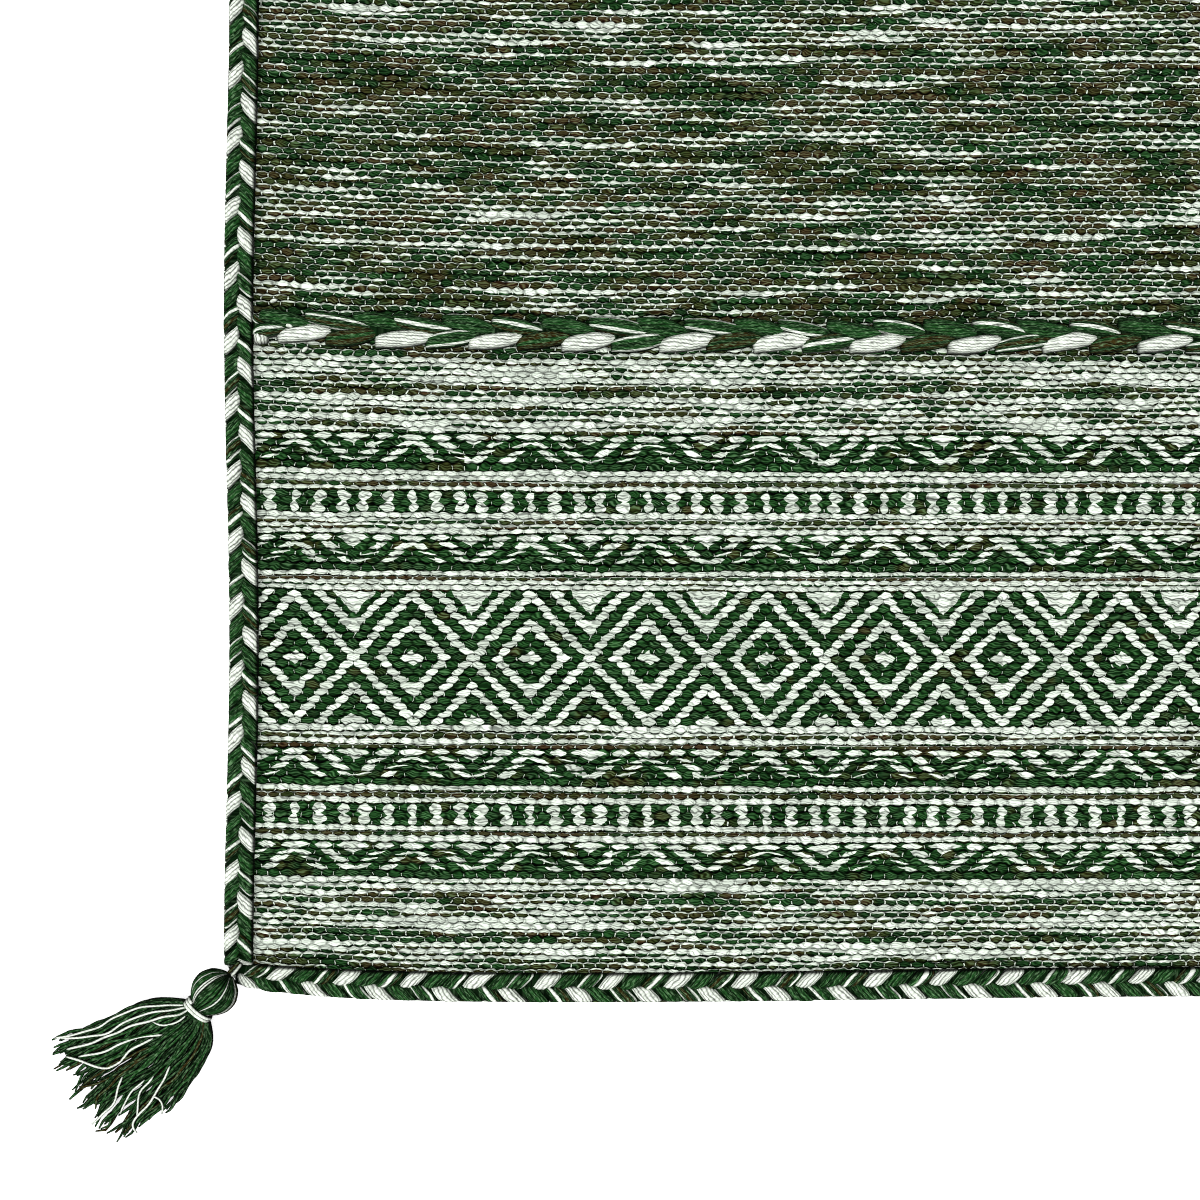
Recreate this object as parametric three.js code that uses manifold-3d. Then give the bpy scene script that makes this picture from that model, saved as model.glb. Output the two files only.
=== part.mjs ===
// A flat-woven cotton rug: one cloth, a plait sewn along each of its four edges, a heavier plait
// across each end panel, and a tied tassel at each corner, lying flat.
// Millimetres, +Z up. X runs across the rug and Y along it, with the near end at -Y.
import * as THREE from 'three';
import { mergeVertices } from 'three/addons/utils/BufferGeometryUtils.js';
import Module from 'manifold-3d';

const wasm = await Module();
wasm.setup();

// Cloth
const RUG_WIDTH = 900;
const RUG_LENGTH = 1500;
const CLOTH_THICKNESS = 3;
const GAP = 0.3; // what sewn pieces stand clear of each other
const WELD = 1e-4; // points of one surface nearer than this are one

// How the edges wander: the sides in a slow wave, the ends in a longer one, drawn in at the corners
const SIDE_WAVE = { length: 281, depth: 1.2, crest: -592 };
const END_WAVE = { length: 590, depth: 1.3 };
const CORNER_RISE = { height: 7.7, reach: 30 };
const CORNER_CUT = { across: 6, along: 17, bulge: 1.6 };
const OUTLINE_STEP = 30;

// Plaits on the edges: three strands, so two ridges with a groove between them
const EDGE_PLAIT = { width: 12.8, height: 5, inset: 0.6, tightEnd: 0.78, tightReach: 26 };
const EDGE_PLAIT_STEP = { end: 24, side: 34 };
const END_PLAIT_SHORT = 5; // how far short of the side's line an end plait stops
const SIDE_PLAIT_CLEAR = 1.6; // between a side plait's stop and the end plait it runs up to

// Plaits across the rug at the head of each end panel: four strands, in long slanting lobes
const CROSS_PLAIT = { width: 15, height: 5.6, lobe: 21, slant: 7, dip: 0.3, pinch: 0.17 };
const PANEL_LENGTH = 291.7;
const CROSS_PLAIT_LIFT = { height: 5.3, reach: 88 }; // its left end is sewn a little further in
const STATIONS_PER_LOBE = 4;

// Cross-section of any plait, anticlockwise from the lower left: shares of half its width, of its
// height, and of how far the slant of the lobes carries that point along
const PLAIT_SECTION = [
  { across: -0.72, up: 0, carried: 0 },
  { across: 0.72, up: 0, carried: 0 },
  { across: 1, up: 0.42, carried: 0 },
  { across: 0.52, up: 1, carried: 0.5 },
  { across: 0, up: 0.74, carried: 1 },
  { across: -0.52, up: 1, carried: 0.5 },
  { across: -1, up: 0.42, carried: 0 },
];

// Tassels. Each is made with its neck at the origin of its own plane and its skirt along +X
const TASSEL_SIDES = 14;
const TASSEL_SQUASH = 0.88; // height of a head that lies on the floor, against its width
const HEAD_RADIUS = 10.35;
const NECK_RADIUS = 5.6;
const HEAD_PROFILE = [
  { along: -20.6, radius: 0 },
  { along: -19.6, radius: 3.6 },
  { along: -16.8, radius: 8.0 },
  { along: -12.6, radius: HEAD_RADIUS },
  { along: -8.2, radius: HEAD_RADIUS * 0.98 },
  { along: -4.2, radius: 8.1 },
  { along: -1.6, radius: NECK_RADIUS },
  { along: 1.6, radius: NECK_RADIUS },
  { along: 4.4, radius: 6.6 },
  { along: 5.2, radius: 0 },
];
const HEAD_HEIGHT = HEAD_RADIUS * TASSEL_SQUASH; // of its middle above the floor
const HEAD_TO_NECK = 10.4; // from the head's middle to the neck's
const TIE_YARN = 1.5;
const TIE_SIDES = 6;

// Skirt: layers of cut yarns, from the floor up. Roots are heights from the neck's middle
const YARN = { width: 2.1, height: 1.6 };
const SKIRT_LAYERS = [
  { yarns: 14, floor: 0, root: -3.6, reach: 1 },
  { yarns: 12, floor: 1.95, root: -0.8, reach: 0.94 },
  { yarns: 10, floor: 3.9, root: 2.0, reach: 0.87 },
];
const SKIRT = { start: 1, flare: 14.3, flareReach: 6, fanBack: 0.4, fall: 13 };
const ROOTS = { half: 4, arch: 0.4 }; // half their width in the neck, and how round they lie there
const SKIRT_TIPS = { reach: 69, roundOff: 11, uneven: 5, stray: 0.5 };
const YARN_STATIONS = [0, 0.07, 0.2, 0.5, 1];

// Corners: the side and end that meet there, where the tassel points, in degrees off the diagonal,
// whether its skirt fans back on its right (1) or its left (-1), and what its stray yarns start from
const CORNERS = [
  { name: 'near_left', side: -1, end: -1, turn: 3, fan: 1, seed: 0 },
  { name: 'near_right', side: 1, end: -1, turn: -4, fan: -1, seed: 100 },
  { name: 'far_right', side: 1, end: 1, turn: 5, fan: 1, seed: 200 },
  { name: 'far_left', side: -1, end: 1, turn: -2, fan: -1, seed: 300 },
];
const LAYER_SEED = 40;
const HEAD_OFF_END = 1.8; // how far a head's middle lies outside the end's edge

const FINISHES = {
  cloth: { color: 0x5c7550, roughness: 0.95 },
  edgePlait: { color: 0x6f8069, roughness: 0.9 },
  crossPlait: { color: 0x7c8a72, roughness: 0.9 },
  tassel: { color: 0x1f4424, roughness: 0.9 },
  tie: { color: 0xb9c2ae, roughness: 0.85 },
};

// Y of the cloth's edge at the end (-1 near, 1 far), X across the rug
function endEdge(end, x) {
  const fromCorner = RUG_WIDTH / 2 - Math.abs(x);
  const alongWave = RUG_WIDTH / 2 - end * x;
  const drawnIn = CORNER_RISE.height * Math.exp(-fromCorner / CORNER_RISE.reach);
  const wave = END_WAVE.depth * Math.sin((2 * Math.PI * alongWave) / END_WAVE.length);
  return end * (RUG_LENGTH / 2 - drawnIn + wave);
}

// X of the cloth's edge at the side (-1 left, 1 right), Y along the rug
function sideEdge(side, y) {
  const turns = (-side * y - SIDE_WAVE.crest) / SIDE_WAVE.length;
  return side * (RUG_WIDTH / 2 - SIDE_WAVE.depth * Math.cos(2 * Math.PI * turns));
}

// Even values from one number to another, both included, no further apart than the step
function evenly(from, to, step) {
  const count = Math.ceil(Math.abs(to - from) / step);
  return Array.from({ length: count + 1 }, (_, i) => from + ((to - from) * i) / count);
}

// A repeatable stray number between -1 and 1
function stray(seed) {
  const wild = Math.sin(seed * 12.9898 + 4.1) * 43758.5453;
  return 2 * (wild - Math.floor(wild)) - 1;
}

// A closed shell through a list of rings, each anticlockwise as seen looking along the run
function loft(rings) {
  const size = rings[0].length;
  const last = (rings.length - 1) * size;
  const faces = [];
  for (let ring = 0; ring < rings.length - 1; ring += 1) {
    for (let i = 0; i < size; i += 1) {
      const a = ring * size + i;
      const b = ring * size + ((i + 1) % size);
      faces.push(a, b + size, b, a, a + size, b + size);
    }
  }
  for (let i = 1; i < size - 1; i += 1) {
    faces.push(0, i, i + 1, last, last + i + 1, last + i);
  }
  const geometry = new THREE.BufferGeometry();
  geometry.setFromPoints(rings.flat());
  geometry.setIndex(faces);
  return geometry;
}

// A three.js shape as a solid for joining: its seams merged and its flat faces at the poles dropped
function toSolid(geometry) {
  const bare = geometry.clone();
  bare.deleteAttribute('normal');
  bare.deleteAttribute('uv');
  const merged = mergeVertices(bare, WELD);
  const faces = [];
  for (let i = 0; i < merged.index.count; i += 3) {
    const [a, b, c] = [0, 1, 2].map((k) => merged.index.getX(i + k));
    if (a !== b && b !== c && c !== a) faces.push(a, b, c);
  }
  return new wasm.Manifold(new wasm.Mesh({
    numProp: 3,
    vertProperties: new Float32Array(merged.attributes.position.array),
    triVerts: new Uint32Array(faces),
  }));
}

function fromSolid(solid) {
  const mesh = solid.getMesh();
  const geometry = new THREE.BufferGeometry();
  geometry.setAttribute('position', new THREE.BufferAttribute(mesh.vertProperties, 3));
  geometry.setIndex(new THREE.BufferAttribute(mesh.triVerts, 1));
  return geometry;
}

function addPiece(group, name, geometry, finish) {
  const material = new THREE.MeshStandardMaterial({ ...finish, metalness: 0 });
  const mesh = new THREE.Mesh(geometry, material);
  mesh.name = name;
  group.add(mesh);
}

// The cloth: its wandering outline, with each corner drawn in to a blunt point
function clothGeometry() {
  const halfWidth = RUG_WIDTH / 2 - CORNER_CUT.across;
  const halfLength = RUG_LENGTH / 2 - CORNER_CUT.along;
  const outline = [];
  for (const [end, side] of [[-1, 1], [1, -1]]) {
    for (const x of evenly(-side * halfWidth, side * halfWidth, OUTLINE_STEP)) {
      outline.push(new THREE.Vector2(x, endEdge(end, x)));
    }
    outline.push(cornerPoint(end, side));
    for (const y of evenly(end * halfLength, -end * halfLength, OUTLINE_STEP)) {
      outline.push(new THREE.Vector2(sideEdge(side, y), y));
    }
    outline.push(cornerPoint(-end, side));
  }
  return new THREE.ExtrudeGeometry(new THREE.Shape(outline), {
    depth: CLOTH_THICKNESS,
    bevelEnabled: false,
  });
}

// The point that rounds a corner, a little outside the line between the two edges' last points
function cornerPoint(end, side) {
  const x = side * (RUG_WIDTH / 2 - CORNER_CUT.across);
  const y = end * (RUG_LENGTH / 2 - CORNER_CUT.along);
  return new THREE.Vector2(
    (x + sideEdge(side, y)) / 2 + side * CORNER_CUT.bulge,
    (y + endEdge(end, x)) / 2 + end * CORNER_CUT.bulge,
  );
}

// One cross-section of a plait at a point, running along a unit direction. left and right say how
// far each half is up its lobe, from 0 in the dip between two lobes to 1 on the crest
function plaitRing(plait, centre, along, { narrow = 1, left = 1, right = 1, slant = 0 } = {}) {
  const { width, height, dip = 0, pinch = 0 } = plait;
  const across = new THREE.Vector2(along.y, -along.x);
  return PLAIT_SECTION.map((point) => {
    const lobe = point.across === 0 ? (left + right) / 2 : point.across < 0 ? left : right;
    const out = (width / 2) * narrow * point.across * (1 - pinch * (1 - lobe));
    const up = height * point.up * (1 - dip * (1 - lobe));
    const carried = slant * point.carried;
    return new THREE.Vector3(
      centre.x + across.x * out + along.x * carried,
      centre.y + across.y * out + along.y * carried,
      CLOTH_THICKNESS + GAP + up,
    );
  });
}

// How much of its width an edge plait keeps so far from its nearer end
function narrowing(fromEnd) {
  const tight = Math.exp(-fromEnd / EDGE_PLAIT.tightReach);
  return 1 - (1 - EDGE_PLAIT.tightEnd) * tight;
}

// The plait on an end edge, from corner to corner
function endPlaitGeometry(end) {
  const halfLength = RUG_WIDTH / 2 - END_PLAIT_SHORT;
  const along = new THREE.Vector2(-end, 0);
  const rings = evenly(end * halfLength, -end * halfLength, EDGE_PLAIT_STEP.end).map((x) => {
    const narrow = narrowing(halfLength - Math.abs(x));
    const inward = EDGE_PLAIT.inset + (EDGE_PLAIT.width / 2) * narrow;
    return plaitRing(EDGE_PLAIT, new THREE.Vector2(x, endEdge(end, x) - end * inward), along, { narrow });
  });
  return loft(rings);
}

// The plait on a side edge, which stops short of the two end plaits
function sidePlaitGeometry(side) {
  const inward = EDGE_PLAIT.inset + EDGE_PLAIT.width / 2;
  const stopOf = (end) => {
    const endPlaitWidth = EDGE_PLAIT.width * EDGE_PLAIT.tightEnd;
    const atCorner = endEdge(end, side * (RUG_WIDTH / 2 - CORNER_CUT.across));
    return atCorner - end * (EDGE_PLAIT.inset + endPlaitWidth + SIDE_PLAIT_CLEAR);
  };
  const along = new THREE.Vector2(0, side);
  const rings = evenly(stopOf(-side), stopOf(side), EDGE_PLAIT_STEP.side).map((y) =>
    plaitRing(EDGE_PLAIT, new THREE.Vector2(sideEdge(side, y) - side * inward, y), along));
  return loft(rings);
}

// The plait across the rug: lobes alternate on its two sides and slant in to the groove
function crossPlaitGeometry(end) {
  const stop = (side, y) => sideEdge(side, y) - side * (EDGE_PLAIT.inset + EDGE_PLAIT.width + GAP);
  const level = RUG_LENGTH / 2 - PANEL_LENGTH;
  const from = stop(end, end * level);
  const to = stop(-end, end * level);
  const length = Math.abs(to - from);
  const spacing = CROSS_PLAIT.lobe / STATIONS_PER_LOBE;
  const along = new THREE.Vector2(-end, 0);
  const rings = evenly(from, to, spacing).map((x, station, all) => {
    const run = Math.abs(x - from);
    const lift = CROSS_PLAIT_LIFT.height * Math.exp(-run / CROSS_PLAIT_LIFT.reach);
    const phase = (Math.PI * station) / STATIONS_PER_LOBE;
    const fromEnd = Math.min(run, length - run);
    const atEnd = station === 0 || station === all.length - 1;
    return plaitRing(CROSS_PLAIT, new THREE.Vector2(x, end * (level - lift)), along, {
      left: atEnd ? 0 : Math.abs(Math.sin(phase)),
      right: atEnd ? 0 : Math.abs(Math.cos(phase)),
      slant: CROSS_PLAIT.slant * Math.min(1, fromEnd / (2 * CROSS_PLAIT.lobe)),
    });
  });
  return loft(rings);
}

// One cut yarn of a skirt: three-sided, level on what it lies on once it has come down from the
// neck. place runs from -1 to 1 across its layer
function skirtYarn(layer, place, fan, seed) {
  const rounded = SKIRT_TIPS.reach - SKIRT_TIPS.roundOff * place * place;
  const tip = (rounded + SKIRT_TIPS.uneven * stray(seed)) * layer.reach;
  const root = HEAD_HEIGHT + layer.root * Math.sqrt(1 - ROOTS.arch * place * place);
  const drift = (SKIRT_TIPS.stray * stray(seed + 0.5) * YARN.width) / tip;
  const rings = YARN_STATIONS.map((share) => {
    const a = SKIRT.start + share * (tip - SKIRT.start);
    const opened = 1 - Math.exp(-(a - SKIRT.start) / SKIRT.flareReach);
    const fannedBack = place * fan < 0 ? SKIRT.fanBack * (a - SKIRT.start) : 0;
    const b = place * (ROOTS.half + SKIRT.flare * opened + fannedBack) + drift * a;
    const down = Math.max(0, 1 - (a - SKIRT.start) / SKIRT.fall) ** 2;
    const z = layer.floor + (root - layer.floor) * down;
    return [
      new THREE.Vector3(a, b + YARN.width / 2, z),
      new THREE.Vector3(a, b - YARN.width / 2, z),
      new THREE.Vector3(a, b, z + YARN.height),
    ];
  });
  return loft(rings);
}

// A tassel's head with the yarns of its skirt joined to it at their roots
function tasselGeometry(fan, seed) {
  const profile = HEAD_PROFILE.map(({ along, radius }) => new THREE.Vector2(radius, along));
  const head = new THREE.LatheGeometry(profile, TASSEL_SIDES);
  head.rotateZ(-Math.PI / 2);
  head.scale(1, 1, TASSEL_SQUASH);
  head.translate(0, 0, HEAD_HEIGHT);
  let solid = toSolid(head);
  SKIRT_LAYERS.forEach((layer, level) => {
    for (let i = 0; i < layer.yarns; i += 1) {
      const place = (2 * i) / (layer.yarns - 1) - 1;
      solid = solid.add(toSolid(skirtYarn(layer, place, fan, seed + level * LAYER_SEED + i)));
    }
  });
  return fromSolid(solid);
}

// The yarn wound round a tassel's neck
function tieGeometry() {
  const radius = NECK_RADIUS / Math.cos(Math.PI / TASSEL_SIDES) + GAP + TIE_YARN / 2;
  const ring = new THREE.TorusGeometry(radius, TIE_YARN / 2, TIE_SIDES, TASSEL_SIDES);
  ring.rotateY(Math.PI / 2);
  ring.scale(1, 1, TASSEL_SQUASH);
  ring.translate(0, 0, HEAD_HEIGHT);
  return ring;
}

// Turns and moves what belongs to a corner's tassel so that its head lies against the corner
function tasselPlace(corner) {
  const endPlaitStop = RUG_WIDTH / 2 - END_PLAIT_SHORT;
  const headX = corner.side * (endPlaitStop + HEAD_RADIUS + GAP);
  const headY = endEdge(corner.end, corner.side * endPlaitStop) + corner.end * HEAD_OFF_END;
  const diagonal = Math.atan2(corner.end, corner.side);
  const turn = diagonal + THREE.MathUtils.degToRad(corner.turn);
  return {
    turn,
    position: new THREE.Vector3(
      headX + HEAD_TO_NECK * Math.cos(turn),
      headY + HEAD_TO_NECK * Math.sin(turn),
      0,
    ),
  };
}

const rug = new THREE.Group();
addPiece(rug, 'cloth', clothGeometry(), FINISHES.cloth);
for (const [name, end] of [['near', -1], ['far', 1]]) {
  addPiece(rug, `plait_${name}`, endPlaitGeometry(end), FINISHES.edgePlait);
  addPiece(rug, `cross_plait_${name}`, crossPlaitGeometry(end), FINISHES.crossPlait);
}
for (const [name, side] of [['left', -1], ['right', 1]]) {
  addPiece(rug, `plait_${name}`, sidePlaitGeometry(side), FINISHES.edgePlait);
}
for (const corner of CORNERS) {
  const tassel = new THREE.Group();
  const { turn, position } = tasselPlace(corner);
  tassel.rotation.z = turn;
  tassel.position.copy(position);
  addPiece(tassel, `tassel_${corner.name}`, tasselGeometry(corner.fan, corner.seed), FINISHES.tassel);
  addPiece(tassel, `tie_${corner.name}`, tieGeometry(), FINISHES.tie);
  rug.add(tassel);
}

// The origin is the middle of the underside of the box round the whole rug
const middle = new THREE.Box3().setFromObject(rug, true).getCenter(new THREE.Vector3());
rug.position.set(-middle.x, -middle.y, 0);
rug.updateMatrixWorld(true);

const part = new THREE.Group();
part.add(rug);

export default part;
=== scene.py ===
"""A flat-woven cotton rug with plaited edges and corner tassels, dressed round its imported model.

Lengths are millimetres in the rug's own plan, X across and Y along with the near end at -Y, and
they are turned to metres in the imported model's frame only where a mesh is made.
"""
from __future__ import annotations

import logging
import math
from dataclasses import dataclass, field
from enum import Enum

import bpy
import numpy as np
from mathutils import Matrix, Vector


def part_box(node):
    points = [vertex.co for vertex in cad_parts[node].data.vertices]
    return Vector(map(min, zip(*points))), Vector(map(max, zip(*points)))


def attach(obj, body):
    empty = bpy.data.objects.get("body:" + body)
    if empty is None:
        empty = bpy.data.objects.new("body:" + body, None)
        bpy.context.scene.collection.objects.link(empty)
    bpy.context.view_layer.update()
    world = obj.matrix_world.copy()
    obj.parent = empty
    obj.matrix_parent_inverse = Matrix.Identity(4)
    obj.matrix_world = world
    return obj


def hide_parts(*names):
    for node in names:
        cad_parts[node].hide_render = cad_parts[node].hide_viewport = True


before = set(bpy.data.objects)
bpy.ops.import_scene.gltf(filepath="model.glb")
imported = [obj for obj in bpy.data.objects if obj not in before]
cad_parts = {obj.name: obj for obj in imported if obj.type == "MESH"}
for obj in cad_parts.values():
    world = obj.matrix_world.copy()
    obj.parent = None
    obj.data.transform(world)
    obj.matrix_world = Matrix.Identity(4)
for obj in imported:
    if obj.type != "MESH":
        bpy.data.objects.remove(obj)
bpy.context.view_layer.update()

MM = 0.001
TURN = 2 * math.pi
UP = np.array([0.0, 0.0, 1.0])
EDGE_SPOTS = 60  # where each of the cloth's edges is measured
LINE_SPOTS = 400  # points of a plait's middle line
log = logging.getLogger("rug")


# The plan that the cloth and all that is sewn to it follow


@dataclass(frozen=True)
class RugPlan:
    """The rug's outline and heights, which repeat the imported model's own sizes, in mm.

    Attributes:
        width: across, between the middles of the side edges' waves.
        length: along, between the middles of the end edges' waves.
        thickness: of the cloth.
        gap: between a tassel's head and the cloth.
        side_wave: how long a wave of a side edge is.
        side_depth: how deep it is.
        side_crest: where along the left side a wave is drawn in most.
        end_wave: how long a wave of an end edge is.
        end_depth: how deep it is.
        corner_rise: how far an end edge is drawn in at a corner.
        corner_reach: how far from the corner that fades.
        cut_across: how far in the corner's blunt cut starts, across.
        cut_along: how far it runs along the side.
        cut_bulge: how far it bulges.
    """

    width: float = 900.0
    length: float = 1500.0
    thickness: float = 3.0
    gap: float = 0.3
    side_wave: float = 281.0
    side_depth: float = 1.2
    side_crest: float = -592.0
    end_wave: float = 590.0
    end_depth: float = 1.3
    corner_rise: float = 7.7
    corner_reach: float = 30.0
    cut_across: float = 6.0
    cut_along: float = 17.0
    cut_bulge: float = 1.6

    def end_edge(self, end: int, x: np.ndarray | float) -> np.ndarray | float:
        """Gives where the cloth's edge runs at an end.

        Args:
            end: -1 for the near end, 1 for the far one.
            x: where across the rug, in mm.

        Returns:
            Y of the edge there, in mm.
        """
        drawn_in = self.corner_rise * np.exp(-(self.width / 2 - np.abs(x)) / self.corner_reach)
        wave = self.end_depth * np.sin(TURN * (self.width / 2 - end * x) / self.end_wave)
        return end * (self.length / 2 - drawn_in + wave)

    def side_edge(self, side: int, y: np.ndarray | float) -> np.ndarray | float:
        """Gives where the cloth's edge runs at a side.

        Args:
            side: -1 for the left side, 1 for the right one.
            y: where along the rug, in mm.

        Returns:
            X of the edge there, in mm.
        """
        turns = (-side * y - self.side_crest) / self.side_wave
        return side * (self.width / 2 - self.side_depth * np.cos(TURN * turns))

    def border(self, side: int, v: np.ndarray) -> np.ndarray:
        """Gives X of a side's edge V from the near end, with the corners cut off bluntly.

        Args:
            side: -1 for the left side, 1 for the right one.
            v: distances from the near end, in mm.

        Returns:
            X of the edge at each distance, in mm.
        """
        edge = self.side_edge(side, v - self.length / 2)
        share = np.clip(np.minimum(v, self.length - v) / self.cut_along, 0, 1)
        blunt = self.width / 2 - self.cut_across
        bulge = 4 * self.cut_bulge * share * (1 - share)
        return side * (blunt + (np.abs(edge) - blunt) * share + bulge)


PLAN = RugPlan()


def unit(vectors: np.ndarray) -> np.ndarray:
    """Gives vectors, one a row, scaled to a length of 1."""
    return vectors / np.linalg.norm(vectors, axis=1, keepdims=True)


def run_along(points: np.ndarray) -> np.ndarray:
    """Gives how far along a line of points each point is, from 0 at the first."""
    return np.concatenate([[0.0], np.cumsum(np.linalg.norm(np.diff(points, axis=0), axis=1))])


def spots_on(line: np.ndarray, length: np.ndarray, places: np.ndarray) -> np.ndarray:
    """Gives the points of a line, or its ways, at places between its own points.

    Args:
        line: X and Y, one point a row.
        length: how far along the line each point is.
        places: how far along it they are wanted.

    Returns:
        X and Y at each place.
    """
    return np.stack([np.interp(places, length, line[:, k]) for k in (0, 1)], -1)


def to_metres(points: np.ndarray) -> np.ndarray:
    """Turns points of the rug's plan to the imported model's frame, by the middle of the cloth.

    Args:
        points: X, Y and Z in mm, one point a row.

    Returns:
        X, Y and Z in metres, one point a row.
    """
    low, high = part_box("cloth")
    half_long = PLAN.length / 2 - PLAN.cut_along
    half_wide = PLAN.width / 2 - PLAN.cut_across
    y = np.linspace(-half_long, half_long, EDGE_SPOTS)
    x = np.linspace(-half_wide, half_wide, EDGE_SPOTS)
    own = np.array([
        PLAN.side_edge(1, y).max() + PLAN.side_edge(-1, y).min(),
        PLAN.end_edge(1, x).max() + PLAN.end_edge(-1, x).min(),
        0.0,
    ]) / 2
    packed = np.array([(low.x + high.x) / 2, (low.y + high.y) / 2, 0.0])
    return (np.asarray(points) - own) * MM + packed


# Finishes


def linear(code: str) -> tuple[float, float, float, float]:
    """Turns an sRGB hex colour to a linear one, by the curve of the sRGB standard.

    Args:
        code: the colour, as # and six hex digits.

    Returns:
        Linear red, green and blue, and a full alpha.
    """
    shares = [int(code[i:i + 2], 16) / 255 for i in (1, 3, 5)]
    red, green, blue = (s / 12.92 if s <= 0.04045 else ((s + 0.055) / 1.055) ** 2.4 for s in shares)
    return red, green, blue, 1.0


class Wire:
    """A value on its way through a material's nodes; arithmetic on it adds nodes."""

    def __init__(self, graph: Graph, socket: bpy.types.NodeSocket) -> None:
        """Keeps the socket that the value comes from."""
        self.graph = graph
        self.socket = socket

    def maths(self, operation: str, *others: Feed) -> Wire:
        """Gives the value after one arithmetic operation with the others."""
        return self.graph.add("ShaderNodeMath", self, *others, operation=operation)

    def __add__(self, other: Feed) -> Wire:
        """Gives the sum."""
        return self.maths("ADD", other)

    def __radd__(self, other: Feed) -> Wire:
        """Gives the sum."""
        return self.maths("ADD", other)

    def __sub__(self, other: Feed) -> Wire:
        """Gives the difference."""
        return self.maths("SUBTRACT", other)

    def __rsub__(self, other: Feed) -> Wire:
        """Gives a plain number less this value."""
        return self.graph.add("ShaderNodeMath", other, self, operation="SUBTRACT")

    def __mul__(self, other: Feed) -> Wire:
        """Gives the product."""
        return self.maths("MULTIPLY", other)

    def __rmul__(self, other: Feed) -> Wire:
        """Gives the product."""
        return self.maths("MULTIPLY", other)

    def __truediv__(self, other: Feed) -> Wire:
        """Gives the quotient."""
        return self.maths("DIVIDE", other)

    def __lt__(self, other: Feed) -> Wire:
        """Gives 1 where the value is under the other, else 0."""
        return self.maths("LESS_THAN", other)

    def __gt__(self, other: Feed) -> Wire:
        """Gives 1 where the value is over the other, else 0."""
        return self.maths("GREATER_THAN", other)

    def __abs__(self) -> Wire:
        """Gives the size without the sign."""
        return self.maths("ABSOLUTE")

    def floor(self) -> Wire:
        """Gives the whole part."""
        return self.maths("FLOOR")

    def within(self, low: float, high: float) -> Wire:
        """Gives 0 up to low, 1 from high, and an even climb between them."""
        return self.graph.add("ShaderNodeMapRange", self, low, high, clamp=True)

    def parts(self) -> tuple[Wire, Wire, Wire]:
        """Splits a vector into its three numbers."""
        return tuple(self.graph.add("ShaderNodeSeparateXYZ", self, out=i) for i in range(3))


Feed = Wire | float | tuple


class Graph:
    """A material's node tree."""

    def __init__(self, name: str) -> None:
        """Makes an empty material.

        Args:
            name: the material's name.
        """
        self.material = bpy.data.materials.new(name)
        self.material.use_nodes = True
        self.material.node_tree.nodes.clear()

    def add(self, kind: str, *feeds: Feed, out: int | str = 0, **settings: object) -> Wire:
        """Adds a node with its settings and links.

        Args:
            kind: the node's type.
            feeds: what goes into its first inputs, a wire or a constant each, or None to skip one.
            out: the output wanted.
            settings: the node's own settings, or its other inputs by name with _ for a space.

        Returns:
            The wire that comes out of it.
        """
        node = self.material.node_tree.nodes.new(kind)
        inputs = {}
        for name, value in settings.items():
            if hasattr(node, name):
                setattr(node, name, value)
            else:
                inputs[name.replace("_", " ")] = value
        for key, value in [*enumerate(feeds), *inputs.items()]:
            if isinstance(value, Wire):
                self.material.node_tree.links.new(value.socket, node.inputs[key])
            elif value is not None:
                node.inputs[key].default_value = value
        return Wire(self, node.outputs[out]) if node.outputs else None

    def ramp(self, share: Feed, stops: list[tuple[float, tuple]], steps: bool = False) -> Wire:
        """Adds a ramp of colours.

        Args:
            share: where on the ramp, from 0 to 1.
            stops: each stop's place and colour, in order.
            steps: whether a colour holds up to the next stop, in place of blending.

        Returns:
            The colour's wire.
        """
        wire = self.add("ShaderNodeValToRGB", share)
        ramp = wire.socket.node.color_ramp
        ramp.interpolation = "CONSTANT" if steps else "LINEAR"
        for number, (place, colour) in enumerate(stops):
            stop = ramp.elements[number] if number < 2 else ramp.elements.new(place)
            stop.position = place
            stop.color = colour
        return wire

    def blend(self, share: Feed, first: Feed, second: Feed) -> Wire:
        """Blends two colours by the second one's share."""
        skipped = (None,) * 5
        return self.add("ShaderNodeMix", share, *skipped, first, second, data_type="RGBA", out=2)

    def patches(self, across: Feed, along: Feed, detail: float) -> Wire:
        """Makes soft patches, as of wear, fluff or uneven dye, or of where painted shade and highlights
        are stronger.

        Args:
            across: where the point is one way, counted in patches.
            along: where it is the other way, counted in patches.
            detail: how many finer layers they have.

        Returns:
            The patches, from 0 to 1.
        """
        spot = self.add("ShaderNodeCombineXYZ", across, along)
        name = {"noise_dimensions": "2D", "Scale": 1.0, "Detail": detail}
        return self.add("ShaderNodeTexNoise", spot, **name)

    def finish(self, colour: Wire, height: Wire, depth: float, roughness: float,
               sheen: float) -> bpy.types.Material:
        """Ends the material in a soft yarn surface.

        Args:
            colour: the base colour.
            height: how far up the relief is, from 0 to 1.
            depth: the relief's full height in mm.
            roughness: how rough the yarn is.
            sheen: how much its fluff catches the light.

        Returns:
            The finished material.
        """
        bump = self.add("ShaderNodeBump", Height=height, Distance=depth * MM)
        # Loose fibres scatter the light, so of the highlight of cotton's own skin nearly nothing is left
        surface = self.add(
            "ShaderNodeBsdfPrincipled", colour, Normal=bump, Roughness=roughness, IOR=1.5,
            Specular_IOR_Level=0.005, Sheen_Weight=sheen, Sheen_Roughness=0.6,
        )
        self.add("ShaderNodeOutputMaterial", surface)
        return self.material


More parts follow.
